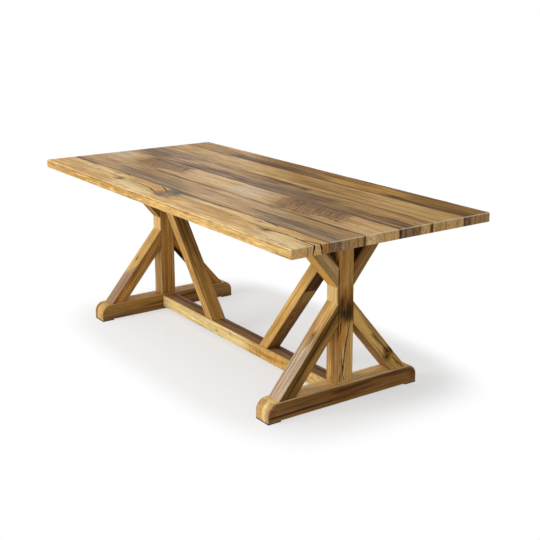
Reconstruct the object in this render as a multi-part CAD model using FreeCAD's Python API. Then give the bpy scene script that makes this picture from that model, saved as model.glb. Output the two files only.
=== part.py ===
import FreeCAD, Part
import math
import os
from FreeCAD import Vector

# Trestle dining table in solid planks, as separate pieces.
#
# Millimetres. X runs along the table, Y across it, Z up. The origin is on the floor,
# under the middle of the top. Left is -X, right is +X, front is -Y, rear is +Y.
#
# The top is a panel of edge-glued boards. It lies on two trestles, each made of a
# sled foot, a post, four diagonal braces and a bearer. One stretcher joins the feet,
# and two long braces run from it up to the posts.

# --- the whole table -------------------------------------------------------------
table_length = 2110.0
table_width = 950.0
table_height = 775.0

# --- the top: boards glued edge to edge, with a loose spline in each joint ---------
top_thickness = 38.0
board_width = 162.0          # every board but the last, which is ripped to the width
top_arris = 3.0              # rounding of the top's outer edges
spline_width = 20.0
spline_thickness = 6.0
spline_end_stop = 60.0       # the groove stops this far from the end grain
spline_clearance = 0.5       # space past the spline's edges in its groove

# --- the trestles -----------------------------------------------------------------
end_overhang = 329.0         # from a post's middle to the end of the top
foot_length = 754.0
foot_width = 86.0
foot_height = 75.0
foot_end_radius = 45.0       # the big round on the foot's upper corners
foot_arris = 3.0
pad_length = 60.0
pad_thickness = 5.0
post_width = 76.0            # along the table
post_depth = 76.0            # across the table
bearer_length = 860.0
bearer_width = 86.0
bearer_height = 60.0
bearer_end_height = 20.0     # what the long bevel leaves at each end
bearer_bevel_length = 100.0
brace_width = 76.0           # along the table
brace_depth = 60.0           # square to the brace's own length
lower_brace_setback = 10.0   # from the start of the foot's round to the brace
upper_brace_reach = 200.0    # from the post's middle to the brace's outer edge
post_bare_length = 65.0      # of post left showing between lower and upper braces
arris = 2.5                  # eased edges of posts, braces and stretcher

# --- the stretcher and its long braces ---------------------------------------------
stretcher_width = 72.0
stretcher_depth = 60.0
stretcher_drop = 3.0         # its upper face is this far below the top of the feet
long_brace_width = 72.0
long_brace_depth = 50.0
long_brace_spread = 196.0    # from the middle of the table to the brace's near edge

# --- joints hidden inside -----------------------------------------------------------
post_tenon = 36.0            # square section
post_tenon_length = 35.0
stretcher_tenon_width = 44.0
stretcher_tenon_height = 34.0
stretcher_tenon_length = 16.0
tenon_clearance = 0.2        # on every side of a tenon
mortise_relief = 1.0         # space past the end of a tenon, dowel or screw
dowel_diameter = 10.0
dowel_length = 50.0
dowel_clearance = 0.15       # on the radius
dowel_chamfer = 1.0
brace_dowel_spacing = 40.0
long_brace_dowel_spacing = 36.0

# --- screws and bolts ----------------------------------------------------------------
metal_clearance = 0.15       # on the radius, round every shank
bolt_diameter = 10.0
bolt_length = 110.0
bolt_head_height = 6.4
bolt_head_across_flats = 16.0
bolt_washer_diameter = 24.0
bolt_washer_thickness = 2.0
bolt_pocket_depth = 12.0
bolt_pocket_clearance = 1.0  # round the washer
screw_diameter = 5.0
screw_head_diameter = 10.0
screw_head_height = 3.5
screw_bite = 24.0            # how far a screw goes into the top
screw_washer_diameter = 14.0
screw_washer_thickness = 1.5
screw_web = 20.0             # bearer left between the washer and the top
screw_slot_travel = 8.0      # lets the top swell and shrink across its width
screw_end_margin = 20.0      # from the last screw to the bearer's end
lock_screw_diameter = 6.0
lock_screw_head_diameter = 12.0
lock_screw_head_height = 4.0
lock_screw_past_tenon = 6.0
pad_screw_diameter = 4.0
pad_screw_head_diameter = 8.0
pad_screw_head_height = 2.0
pad_screw_length = 25.0
pad_screw_recess = 1.0       # the heads stay this far above the floor
pad_screw_spacing = 46.0

# --- heights and places that follow ---------------------------------------------------
trestle_centre = table_length / 2 - end_overhang
top_underside = table_height - top_thickness
bearer_underside = top_underside - bearer_height
foot_underside = pad_thickness
foot_top = foot_underside + foot_height
stretcher_top = foot_top - stretcher_drop
stretcher_bottom = stretcher_top - stretcher_depth
post_half_depth = post_depth / 2
post_inner_face = trestle_centre - post_width / 2
foot_inner_face = trestle_centre - foot_width / 2

# The lower and the upper braces share one slope. It uses up all the height between
# foot and bearer, apart from the bare stretch of post.
lower_brace_reach = foot_length / 2 - foot_end_radius - lower_brace_setback
brace_run = (lower_brace_reach - post_half_depth) + (upper_brace_reach - post_half_depth)
brace_rise = bearer_underside - foot_top - post_bare_length
brace_angle = math.atan2(brace_rise, brace_run)

# A long brace ends where the post meets the underside of the bearer.
long_brace_run = post_inner_face - long_brace_spread
long_brace_rise = bearer_underside - stretcher_top
long_brace_angle = math.atan2(long_brace_rise, long_brace_run)

SIDES = {"left": -1, "right": 1}
ENDS = {"front": -1, "rear": 1}
X_AXIS = Vector(1, 0, 0)
Y_AXIS = Vector(0, 1, 0)
Z_AXIS = Vector(0, 0, 1)


# --- small builders -----------------------------------------------------------------
def block(x0, x1, y0, y1, z0, z1):
    """A box between two corners, in whatever order the limits are given."""
    low = Vector(min(x0, x1), min(y0, y1), min(z0, z1))
    return Part.makeBox(abs(x1 - x0), abs(y1 - y0), abs(z1 - z0), low)


def rod(start, direction, length, radius):
    """A plain cylinder from a start point along a direction."""
    return Part.makeCylinder(radius, length, start, direction)


def prism(points, thickness):
    """A closed outline of points, pushed through a thickness vector."""
    outline = Part.makePolygon(points + [points[0]])
    return Part.Face(outline).extrude(thickness)


def edge_line(edge):
    """The direction and the middle of a straight edge, or None for a curved one."""
    if not isinstance(edge.Curve, Part.Line):
        return None
    first = edge.Vertexes[0].Point
    last = edge.Vertexes[-1].Point
    return (last - first).normalize(), (first + last) / 2


def ease(shape, radius, wanted):
    """Round the straight edges that wanted(direction, middle) accepts."""
    lines = [(edge, edge_line(edge)) for edge in shape.Edges]
    picked = [edge for edge, line in lines if line and wanted(*line)]
    return shape.makeFillet(radius, picked)


def along(direction, axis):
    return abs(direction.dot(axis)) > 0.999


def cut(shape, tools):
    """Take a list of tools out of a solid, and give back one clean solid."""
    result = shape.cut(Part.makeCompound(tools)) if tools else shape
    return result.removeSplitter().Solids[0]


def slot(centre, half_travel, radius, height):
    """An upright slot with round ends that runs across the table."""
    start = centre - Y_AXIS * half_travel
    end = centre + Y_AXIS * half_travel
    middle = block(centre.x - radius, centre.x + radius, start.y, end.y,
                   centre.z, centre.z + height)
    ends = [rod(point, Z_AXIS, height, radius) for point in (start, end)]
    return middle.fuse(ends).removeSplitter()


# --- dowels ---------------------------------------------------------------------------
def dowel(centre, direction):
    """A dowel with chamfered ends, centred on the joint it crosses."""
    start = centre - direction * (dowel_length / 2)
    plain = rod(start, direction, dowel_length, dowel_diameter / 2)
    rims = [edge for edge in plain.Edges if isinstance(edge.Curve, Part.Circle)]
    return plain.makeChamfer(dowel_chamfer, rims)


def dowel_hole(centre, direction):
    """The hole for one dowel, through both pieces of the joint."""
    half = dowel_length / 2 + mortise_relief
    return rod(centre - direction * half, direction, 2 * half,
               dowel_diameter / 2 + dowel_clearance)


def brace_footprint(depth, angle):
    """How much of a level face and of an upright face a sloping brace covers."""
    return depth / math.sin(angle), depth / math.cos(angle)


def lower_brace_points(end):
    """Corners of a lower brace in the trestle's plane, as (y, z)."""
    level, upright = brace_footprint(brace_depth, brace_angle)
    high = foot_top + (lower_brace_reach - post_half_depth) * math.tan(brace_angle)
    return [(end * post_half_depth, high - upright),
            (end * post_half_depth, high),
            (end * lower_brace_reach, foot_top),
            (end * (lower_brace_reach - level), foot_top)]


def upper_brace_points(end):
    """Corners of an upper brace in the trestle's plane, as (y, z)."""
    level, upright = brace_footprint(brace_depth, brace_angle)
    low = bearer_underside - (upper_brace_reach - post_half_depth) * math.tan(brace_angle)
    return [(end * post_half_depth, low + upright),
            (end * post_half_depth, low),
            (end * upper_brace_reach, bearer_underside),
            (end * (upper_brace_reach - level), bearer_underside)]


def joint_dowels(points, inward, x_middle):
    """Centre points and directions of the four dowels of one trestle brace.

    points are the brace's corners. The first two lie on the post, the other two on
    the foot or bearer. inward is the slope's sign: how z changes with |y|.
    """
    shift = dowel_length / 4
    y_post = points[0][0]
    z_post = (points[0][1] + points[1][1]) / 2 + inward * shift * math.tan(brace_angle)
    end = math.copysign(1, y_post)
    y_level = (points[2][0] + points[3][0]) / 2 - end * shift / math.tan(brace_angle)
    z_level = points[2][1]
    found = []
    for offset in (-brace_dowel_spacing / 2, brace_dowel_spacing / 2):
        found.append((Vector(x_middle + offset, y_post, z_post), Y_AXIS))
        found.append((Vector(x_middle + offset, y_level, z_level), Z_AXIS))
    return found


def trestle_dowels(side):
    """Every dowel of one trestle's four diagonal braces."""
    x_middle = side * trestle_centre
    found = []
    for end in ENDS.values():
        found += joint_dowels(lower_brace_points(end), -1, x_middle)
        found += joint_dowels(upper_brace_points(end), 1, x_middle)
    return found


def long_brace_points(side):
    """Corners of a long brace in the table's middle plane, as (x, z)."""
    level, upright = brace_footprint(long_brace_depth, long_brace_angle)
    return [(side * post_inner_face, bearer_underside - upright),
            (side * post_inner_face, bearer_underside),
            (side * long_brace_spread, stretcher_top),
            (side * (long_brace_spread + level), stretcher_top)]


def long_brace_dowels(side):
    """Two dowels into the post and two into the stretcher."""
    points = long_brace_points(side)
    shift = dowel_length / 4
    x_post = points[0][0]
    z_post = (points[0][1] + points[1][1]) / 2 - shift * math.tan(long_brace_angle)
    x_level = (points[2][0] + points[3][0]) / 2 + side * shift / math.tan(long_brace_angle)
    found = []
    for y in (-long_brace_dowel_spacing / 2, long_brace_dowel_spacing / 2):
        found.append((Vector(x_post, y, z_post), X_AXIS))
        found.append((Vector(x_level, y, stretcher_top), Z_AXIS))
    return found


# --- screws and bolts --------------------------------------------------------------
def hex_bolt(seat, direction):
    """A lag bolt: shank along direction from the seat, washer and head behind it."""
    back = direction * -1
    shank_start = seat + back * bolt_washer_thickness
    shank = rod(shank_start, direction, bolt_length, bolt_diameter / 2)
    tip_start = shank_start + direction * bolt_length
    tip = Part.makeCone(bolt_diameter / 2, 0.5, bolt_diameter / 2, tip_start, direction)
    corner = bolt_head_across_flats / math.sqrt(3)
    points = []
    for step in range(6):
        turn = math.radians(60 * step)
        points.append(shank_start + Vector(corner * math.cos(turn), corner * math.sin(turn), 0))
    head = prism(points, back * bolt_head_height)
    return shank.fuse([tip, head]).removeSplitter()


def ring(seat, direction, outer, inner, thickness):
    """A washer that lies against the seat, on the side the direction points away from."""
    start = seat - direction * thickness
    return rod(start, direction, thickness, outer).cut(rod(start, direction, thickness, inner))


def wood_screw(seat, length, shank_diameter, head_diameter, head_height):
    """An upright screw. Its head's flat side is at the seat, its tip points up."""
    tip_length = shank_diameter
    shank = rod(seat, Z_AXIS, length - tip_length, shank_diameter / 2)
    tip_start = seat + Z_AXIS * (length - tip_length)
    tip = Part.makeCone(shank_diameter / 2, 0.3, tip_length, tip_start, Z_AXIS)
    head = rod(seat - Z_AXIS * head_height, Z_AXIS, head_height, head_diameter / 2)
    return shank.fuse([tip, head]).removeSplitter()


def screw_hole(seat, length, diameter):
    """The hole for a screw, from its seat to just past its tip."""
    return rod(seat, Z_AXIS, length + mortise_relief, diameter / 2 + metal_clearance)


# --- the top ---------------------------------------------------------------------------
def board_edges():
    """The y of every joint line in the top, with both outer edges."""
    count = max(2, round(table_width / board_width))
    lines = [-table_width / 2 + board_width * index for index in range(count)]
    return lines + [table_width / 2]


def top_screw_seats(side):
    """Where the washers sit, one under each board that the bearer reaches."""
    limit = bearer_length / 2 - screw_end_margin
    lines = board_edges()
    middles = [(low + high) / 2 for low, high in zip(lines, lines[1:])]
    seat_height = top_underside - screw_web
    return [Vector(side * trestle_centre, y, seat_height) for y in middles if abs(y) < limit]


def top_screw_length():
    return screw_washer_thickness + screw_web + screw_bite


def screw_head_seat(seat):
    """The lower side of a top screw's washer, which the screw's head pulls against."""
    return seat - Z_AXIS * screw_washer_thickness


def spline(y):
    """The loose tongue in the joint at y."""
    half_length = table_length / 2 - spline_end_stop
    middle = (table_height + top_underside) / 2
    return block(-half_length, half_length, y - spline_width / 2, y + spline_width / 2,
                 middle - spline_thickness / 2, middle + spline_thickness / 2)


def spline_groove(y):
    half_length = table_length / 2 - spline_end_stop + spline_clearance
    reach = spline_width / 2 + spline_clearance
    middle = (table_height + top_underside) / 2
    return block(-half_length, half_length, y - reach, y + reach,
                 middle - spline_thickness / 2, middle + spline_thickness / 2)


def top_board(index):
    """One board, eased only where its edges are the edges of the whole top."""
    lines = board_edges()
    low, high = lines[index], lines[index + 1]
    plank = block(-table_length / 2, table_length / 2, low, high, top_underside, table_height)
    outer = [y for y in (low, high) if abs(abs(y) - table_width / 2) < 0.001]

    def outside(direction, middle):
        at_outer_edge = any(abs(middle.y - y) < 0.001 for y in outer)
        at_end = abs(abs(middle.x) - table_length / 2) < 0.001
        if along(direction, Y_AXIS):
            return at_end
        if along(direction, X_AXIS):
            return at_outer_edge
        return at_end and at_outer_edge

    plank = ease(plank, top_arris, outside)
    tools = [spline_groove(y) for y in (low, high) if y not in outer]
    for side in SIDES.values():
        for seat in top_screw_seats(side):
            if low < seat.y < high:
                tools.append(screw_hole(screw_head_seat(seat), top_screw_length(),
                                        screw_diameter))
    return cut(plank, tools)


# --- the trestle's pieces ----------------------------------------------------------------
def pad_screw_seats(side, end):
    """Where one pad's two screws have the inner side of their heads."""
    y = end * (foot_length / 2 - pad_length / 2)
    height = pad_screw_recess + pad_screw_head_height
    return [Vector(side * trestle_centre + offset, y, height)
            for offset in (-pad_screw_spacing / 2, pad_screw_spacing / 2)]


def lock_screw_seat(side):
    """The seat of the screw that locks the stretcher's tenon in the foot."""
    x = side * (foot_inner_face + stretcher_tenon_length / 2)
    return Vector(x, 0, foot_underside + lock_screw_head_height)


def lock_screw_length():
    tenon_top = (stretcher_top + stretcher_bottom + stretcher_tenon_height) / 2
    return tenon_top + lock_screw_past_tenon - lock_screw_seat(1).z


def lock_screw_tools(side):
    seat = lock_screw_seat(side)
    pocket_radius = lock_screw_head_diameter / 2 + metal_clearance
    pocket = rod(Vector(seat.x, 0, foot_underside), Z_AXIS, lock_screw_head_height, pocket_radius)
    return [pocket, screw_hole(seat, lock_screw_length(), lock_screw_diameter)]


def post_bolt_seats(side):
    """Seat and direction of the bolt from below and of the one from above."""
    x = side * trestle_centre
    return [(Vector(x, 0, foot_underside + bolt_pocket_depth), Z_AXIS),
            (Vector(x, 0, top_underside - bolt_pocket_depth), Z_AXIS * -1)]


def bolt_tools(seat, direction):
    """The pocket for head and washer, and the hole for the shank."""
    pocket_radius = bolt_washer_diameter / 2 + bolt_pocket_clearance
    mouth = seat - direction * bolt_pocket_depth
    reach = bolt_length + bolt_diameter / 2 + mortise_relief
    return [rod(mouth, direction, bolt_pocket_depth, pocket_radius),
            rod(seat, direction, reach, bolt_diameter / 2 + metal_clearance)]


def post_mortise(side, face, upward):
    """The mortise for a post's tenon, from a level face up (1) or down (-1)."""
    half = post_tenon / 2 + tenon_clearance
    x = side * trestle_centre
    depth = post_tenon_length + mortise_relief
    return block(x - half, x + half, -half, half, face, face + upward * depth)


def stretcher_mortise(side):
    half_width = stretcher_tenon_width / 2 + tenon_clearance
    half_height = stretcher_tenon_height / 2 + tenon_clearance
    middle = (stretcher_top + stretcher_bottom) / 2
    depth = stretcher_tenon_length + mortise_relief
    return block(side * foot_inner_face, side * (foot_inner_face + depth),
                 -half_width, half_width, middle - half_height, middle + half_height)


def foot(side):
    """The sled foot: large rounds on its upper corners, then eased all round."""
    x = side * trestle_centre
    half_length = foot_length / 2
    half_width = foot_width / 2
    beam = block(x - half_width, x + half_width, -half_length, half_length,
                 foot_underside, foot_top)

    def upper_corner(direction, middle):
        at_end = abs(abs(middle.y) - half_length) < 0.001
        return along(direction, X_AXIS) and at_end and abs(middle.z - foot_top) < 0.001

    beam = ease(beam, foot_end_radius, upper_corner)
    side_arrises = []
    for edge in beam.Edges:
        box = edge.BoundBox
        on_side = box.XLength < 0.001 and abs(abs(box.XMin - x) - half_width) < 0.001
        if on_side and box.ZMax > foot_underside + 0.001:
            side_arrises.append(edge)
    beam = beam.makeFillet(foot_arris, side_arrises)
    tools = [post_mortise(side, foot_top, -1), stretcher_mortise(side)]
    tools += bolt_tools(*post_bolt_seats(side)[0]) + lock_screw_tools(side)
    tools += [dowel_hole(*place) for place in trestle_dowels(side)]
    for end in ENDS.values():
        for seat in pad_screw_seats(side, end):
            tools.append(screw_hole(seat, pad_screw_length, pad_screw_diameter))
    return cut(beam, tools)


def pad(side, end):
    """The dark pad that lifts the foot's end off the floor."""
    x = side * trestle_centre
    outer = end * foot_length / 2
    inner = outer - end * pad_length
    plate = block(x - foot_width / 2, x + foot_width / 2, inner, outer, 0, pad_thickness)

    def outer_corner(direction, middle):
        return along(direction, Z_AXIS) and abs(middle.y - outer) < 0.001

    plate = ease(plate, foot_arris, outer_corner)
    tools = []
    for seat in pad_screw_seats(side, end):
        tools.append(screw_hole(seat, pad_screw_length, pad_screw_diameter))
        mouth = Vector(seat.x, seat.y, 0)
        tools.append(rod(mouth, Z_AXIS, seat.z, pad_screw_head_diameter / 2 + metal_clearance))
    return cut(plate, tools)


def post(side):
    """The upright, with a tenon into the foot and one into the bearer."""
    x = side * trestle_centre
    shaft = block(x - post_width / 2, x + post_width / 2, -post_half_depth, post_half_depth,
                  foot_top, bearer_underside)
    shaft = ease(shaft, arris, lambda direction, middle: along(direction, Z_AXIS))
    half = post_tenon / 2
    tenon = block(x - half, x + half, -half, half,
                  foot_top - post_tenon_length, bearer_underside + post_tenon_length)
    shaft = shaft.fuse(tenon)
    tools = [dowel_hole(*place) for place in trestle_dowels(side) + long_brace_dowels(side)]
    for place in post_bolt_seats(side):
        tools += bolt_tools(*place)
    return cut(shaft, tools)


def trestle_brace(side, corners):
    """A lower or an upper brace of one trestle, from its (y, z) corners."""
    x_start = side * trestle_centre - brace_width / 2
    points = [Vector(x_start, y, z) for y, z in corners]
    slope = (points[2] - points[1]).normalize()
    solid = prism(points, X_AXIS * brace_width)
    solid = ease(solid, arris, lambda direction, middle: along(direction, slope))
    return cut(solid, [dowel_hole(*place) for place in trestle_dowels(side)])


def bearer(side):
    """The cross piece under the top, bevelled thin towards its ends."""
    x_start = side * trestle_centre - bearer_width / 2
    half = bearer_length / 2
    flat = half - bearer_bevel_length
    tip = top_underside - bearer_end_height
    corners = [(-half, top_underside), (-half, tip), (-flat, bearer_underside),
               (flat, bearer_underside), (half, tip), (half, top_underside)]
    beam = prism([Vector(x_start, y, z) for y, z in corners], X_AXIS * bearer_width)
    tools = [post_mortise(side, bearer_underside, 1)]
    tools += bolt_tools(*post_bolt_seats(side)[1])
    tools += [dowel_hole(*place) for place in trestle_dowels(side)]
    half_travel = screw_slot_travel / 2
    for seat in top_screw_seats(side):
        tools.append(slot(seat, half_travel, screw_diameter / 2 + metal_clearance, screw_web))
        floor = Vector(seat.x, seat.y, bearer_underside)
        pocket_radius = screw_washer_diameter / 2 + metal_clearance
        tools.append(slot(floor, half_travel, pocket_radius, seat.z - bearer_underside))
    return cut(beam, tools)


def stretcher():
    """The low rail between the feet, with a stub tenon at each end."""
    half_width = stretcher_width / 2
    rail = block(-foot_inner_face, foot_inner_face, -half_width, half_width,
                 stretcher_bottom, stretcher_top)
    rail = ease(rail, arris, lambda direction, middle: along(direction, X_AXIS))
    middle_height = (stretcher_top + stretcher_bottom) / 2
    half_tenon = stretcher_tenon_width / 2
    reach = foot_inner_face + stretcher_tenon_length
    tenon = block(-reach, reach, -half_tenon, half_tenon,
                  middle_height - stretcher_tenon_height / 2,
                  middle_height + stretcher_tenon_height / 2)
    rail = rail.fuse(tenon)
    tools = []
    for side in SIDES.values():
        tools += lock_screw_tools(side)
        tools += [dowel_hole(*place) for place in long_brace_dowels(side)]
    return cut(rail, tools)


def long_brace(side):
    """The diagonal from the stretcher up to the post, in the table's middle plane."""
    points = [Vector(x, -long_brace_width / 2, z) for x, z in long_brace_points(side)]
    slope = (points[2] - points[1]).normalize()
    solid = prism(points, Y_AXIS * long_brace_width)
    solid = ease(solid, arris, lambda direction, middle: along(direction, slope))
    return cut(solid, [dowel_hole(*place) for place in long_brace_dowels(side)])


# --- everything, by name -------------------------------------------------------------
def top_pieces():
    pieces = {}
    lines = board_edges()
    for index in range(len(lines) - 1):
        pieces[f"top_board_{index + 1}"] = [top_board(index)]
    for index, y in enumerate(lines[1:-1]):
        pieces[f"top_spline_{index + 1}"] = [spline(y)]
    return pieces


def trestle_pieces(name, side):
    pieces = {f"{name}_foot": [foot(side)],
              f"{name}_post": [post(side)],
              f"{name}_bearer": [bearer(side)],
              f"{name}_long_brace": [long_brace(side)]}
    for end_name, end in ENDS.items():
        lower = trestle_brace(side, lower_brace_points(end))
        upper = trestle_brace(side, upper_brace_points(end))
        pieces[f"{name}_lower_{end_name}_brace"] = [lower]
        pieces[f"{name}_upper_{end_name}_brace"] = [upper]
        pieces[f"{name}_{end_name}_pad"] = [pad(side, end)]
    return pieces


def fastener_pieces(name, side):
    """Each kind of fastener is one group of separate solids."""
    bolts = post_bolt_seats(side)
    seats = top_screw_seats(side)
    pad_seats = [seat for end in ENDS.values() for seat in pad_screw_seats(side, end)]
    return {
        f"{name}_trestle_dowels": [dowel(*place) for place in trestle_dowels(side)],
        f"{name}_long_brace_dowels": [dowel(*place) for place in long_brace_dowels(side)],
        f"{name}_post_bolts": [hex_bolt(*place) for place in bolts],
        f"{name}_post_washers": [
            ring(seat, direction, bolt_washer_diameter / 2,
                 bolt_diameter / 2 + metal_clearance, bolt_washer_thickness)
            for seat, direction in bolts],
        f"{name}_top_screws": [
            wood_screw(screw_head_seat(seat), top_screw_length(), screw_diameter,
                       screw_head_diameter, screw_head_height)
            for seat in seats],
        f"{name}_top_washers": [
            ring(seat, Z_AXIS, screw_washer_diameter / 2,
                 screw_diameter / 2 + metal_clearance, screw_washer_thickness)
            for seat in seats],
        f"{name}_stretcher_screw": [
            wood_screw(lock_screw_seat(side), lock_screw_length(), lock_screw_diameter,
                       lock_screw_head_diameter, lock_screw_head_height)],
        f"{name}_pad_screws": [
            wood_screw(seat, pad_screw_length, pad_screw_diameter,
                       pad_screw_head_diameter, pad_screw_head_height)
            for seat in pad_seats],
    }


def all_pieces():
    pieces = top_pieces()
    pieces["stretcher"] = [stretcher()]
    for name, side in SIDES.items():
        pieces.update(trestle_pieces(name, side))
        pieces.update(fastener_pieces(name, side))
    return pieces


def main():
    os.makedirs("parts", exist_ok=True)
    for name, solids in all_pieces().items():
        shape = solids[0] if len(solids) == 1 else Part.makeCompound(solids)
        shape.exportStep(f"parts/{name}.step")
        volume = sum(solid.Volume for solid in solids) / 1000
        print(f"{name:28s} solids {len(solids):2d}  valid {shape.isValid()}  {volume:9.1f} cm3")


main()
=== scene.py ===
# %% [markdown]
# # A trestle dining table in rustic oak
#
# The table has a plank top, two trestles that each hold a K of diagonal braces on both sides of a
# post, a low stretcher from foot to foot, and two long braces in the middle plane. The packed CAD
# part is the fixed frame: it says where each timber starts and ends, how thick it is, and what
# meets it. This lesson dresses that frame: it cuts each visible timber as a mesh with worn edges,
# knots and cracks, and gives it a finish that is made of nodes only.

import math

import bmesh
import bpy
from mathutils import Matrix, Vector, noise


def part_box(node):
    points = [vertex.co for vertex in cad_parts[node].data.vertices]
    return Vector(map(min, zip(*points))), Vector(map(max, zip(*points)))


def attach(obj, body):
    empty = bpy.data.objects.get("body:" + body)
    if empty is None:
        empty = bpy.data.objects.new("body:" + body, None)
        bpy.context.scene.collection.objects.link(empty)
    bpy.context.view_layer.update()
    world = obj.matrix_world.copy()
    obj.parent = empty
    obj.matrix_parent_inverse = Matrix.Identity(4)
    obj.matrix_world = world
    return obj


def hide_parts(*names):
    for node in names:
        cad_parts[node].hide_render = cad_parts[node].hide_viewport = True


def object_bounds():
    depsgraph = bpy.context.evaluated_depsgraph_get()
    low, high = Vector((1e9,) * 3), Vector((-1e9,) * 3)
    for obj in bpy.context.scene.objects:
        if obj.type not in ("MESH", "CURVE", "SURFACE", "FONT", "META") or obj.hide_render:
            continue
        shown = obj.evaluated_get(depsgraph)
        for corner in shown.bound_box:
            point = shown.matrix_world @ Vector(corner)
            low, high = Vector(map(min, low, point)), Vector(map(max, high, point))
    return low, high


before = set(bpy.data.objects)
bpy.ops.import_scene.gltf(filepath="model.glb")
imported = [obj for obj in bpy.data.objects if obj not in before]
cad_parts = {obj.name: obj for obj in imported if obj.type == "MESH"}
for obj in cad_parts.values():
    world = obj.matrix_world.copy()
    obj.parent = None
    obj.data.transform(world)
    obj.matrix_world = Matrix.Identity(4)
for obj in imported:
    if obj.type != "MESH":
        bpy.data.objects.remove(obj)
cad_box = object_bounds()
print("nodes in the frame:", len(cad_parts))

# %% [markdown]
# ## Camera
#
# The table is seen from its right end, a little above the top, with a long lens, so that its long
# edges run together only gently. A camera can be aimed with a constraint, but three angles and a
# place say more plainly what it does, so its matrix is built from them: heading, pitch and roll.
# The lens is shifted down a little, which keeps the posts nearly upright.

# %% Camera
def add_object(name, data):
    """An object that shows data, linked to the scene."""
    thing = bpy.data.objects.new(name, data)
    bpy.context.scene.collection.objects.link(thing)
    return thing


eye = Vector((3.7436, -2.4005, 1.6797))
heading = math.radians(55.606)
pitch = math.radians(13.094)
roll = math.radians(-0.276)

level_forward = Vector((-math.sin(heading), math.cos(heading), 0))
level_right = Vector((math.cos(heading), math.sin(heading), 0))
upward = Vector((0, 0, 1))
forward = level_forward * math.cos(pitch) - upward * math.sin(pitch)
tilted_up = level_forward * math.sin(pitch) + upward * math.cos(pitch)
right = level_right * math.cos(roll) + tilted_up * math.sin(roll)
up = tilted_up * math.cos(roll) - level_right * math.sin(roll)

camera_data = bpy.data.cameras.new("camera")
camera_data.sensor_width = 36
camera_data.lens = 67.83
camera_data.shift_y = -0.11
camera = add_object("camera", camera_data)
camera.matrix_world = Matrix.Translation(eye) @ Matrix((right, up, -forward)).transposed().to_4x4()
bpy.context.scene.camera = camera
bpy.context.scene.view_settings.view_transform = "Standard"
print("camera", [round(c, 2) for c in eye], "lens", camera_data.lens)

# %% [markdown]
# ## Light
#
# Timber shows its grain best in one broad soft light from the side, with a paler light from all
# round to open up the shadows. The broad light stands before the long side of the table and a
# little above it, so the long faces are the brightest, the top is next, and the end faces are in
# half shade. A second one hangs overhead. A white card beyond the far end gives no light of its own
# to the matt wood: it shows only as a pale sheen in the oil, which a sun or a spot couldn't do
# without a hard shadow.

# %% Lamps
def area_lamp(name, place, aim, size, power):
    """A square soft light at place that faces the point aim."""
    data = bpy.data.lights.new(name, "AREA")
    data.size = size
    data.energy = power
    lamp = add_object(name, data)
    lamp.location = place
    lamp.rotation_euler = (Vector(aim) - Vector(place)).to_track_quat("-Z", "Y").to_euler()
    lamp.visible_camera = False
    return lamp


table_middle = (0, 0, 0.4)
far_end = (-0.6, 0.25, 0.7)
area_lamp("key", (-0.8, -4.6, 2.6), table_middle, size=2.2, power=132)
area_lamp("overhead", (-0.2, 0.2, 4.4), table_middle, size=3.2, power=44)
card = area_lamp("white_card", (-5.7, 3.35, 1.4), far_end, size=1.1, power=9)
card.visible_diffuse = False

# %% [markdown]
# ## Finishes as recipes
#
# Each finish is a tree of shader nodes. Python can add them one by one and link their sockets, but
# that takes three lines a node, and the idea gets lost. So a small class holds a tree and has a
# short call for each kind of node. A call takes plain values or the outputs of other nodes and
# hands back its own output, so a finish reads like the sum that it works out.

# %% Recipe
class Recipe:
    """A node tree, with a short call for each kind of node that the finishes use."""

    def __init__(self, tree):
        self.tree = tree

    def feed(self, socket, value):
        """A socket takes another node's output, or a plain value."""
        if isinstance(value, bpy.types.NodeSocket):
            self.tree.links.new(value, socket)
        else:
            socket.default_value = value

    def add(self, kind, inputs=(), **settings):
        """A node of that kind. inputs gives sockets by name or number, settings its properties."""
        node = self.tree.nodes.new("ShaderNode" + kind)
        for key, value in settings.items():
            setattr(node, key, value)
        for key, value in dict(inputs).items():
            self.feed(node.inputs[key], value)
        return node

    def math(self, operation, a, b=0.0):
        return self.add("Math", {0: a, 1: b}, operation=operation).outputs[0]

    def plus(self, a, b):
        return self.math("ADD", a, b)

    def minus(self, a, b):
        return self.math("SUBTRACT", a, b)

    def times(self, a, b):
        return self.math("MULTIPLY", a, b)

    def step(self, value, low, high, to_low=0.0, to_high=1.0):
        """A smooth step of value from low to high. low may be above high."""
        inputs = {"Value": value, "From Min": low, "From Max": high, "To Min": to_low, "To Max": to_high}
        return self.add("MapRange", inputs, interpolation_type="SMOOTHSTEP").outputs[0]

    def scaled(self, vector, x, y, z):
        return self.add("VectorMath", {0: vector, 1: (x, y, z)}, operation="MULTIPLY").outputs[0]

    def noise(self, vector, detail=2.0, roughness=0.5):
        inputs = {"Vector": vector, "Scale": 1.0, "Detail": detail, "Roughness": roughness}
        return self.add("TexNoise", inputs).outputs[0]

    def swing(self, vector, amount, detail=2.0):
        """Noise about zero, from minus to plus half of amount."""
        return self.times(self.minus(self.noise(vector, detail), 0.5), amount)

    def mix(self, factor, a, b, blend="MIX"):
        inputs = {0: factor, 6: a, 7: b}
        return self.add("Mix", inputs, data_type="RGBA", blend_type=blend).outputs[2]

    def ramp(self, factor, stops):
        """Colours by factor, from stops of (place, colour)."""
        node = self.add("ValToRGB", {0: factor})
        elements = node.color_ramp.elements
        while len(elements) < len(stops):
            elements.new(0.5)
        for element, (place, colour) in zip(elements, stops):
            element.position = place
            element.color = colour
        return node.outputs[0]

    def split(self, vector):
        return self.add("SeparateXYZ", {0: vector}).outputs[:3]

    def join(self, x, y, z):
        return self.add("CombineXYZ", {0: x, 1: y, 2: z}).outputs[0]


def new_finish(name):
    """An empty material, and the recipe that fills it."""
    material = bpy.data.materials.new(name)
    material.use_nodes = True
    material.node_tree.nodes.clear()
    return material, Recipe(material.node_tree)


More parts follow.
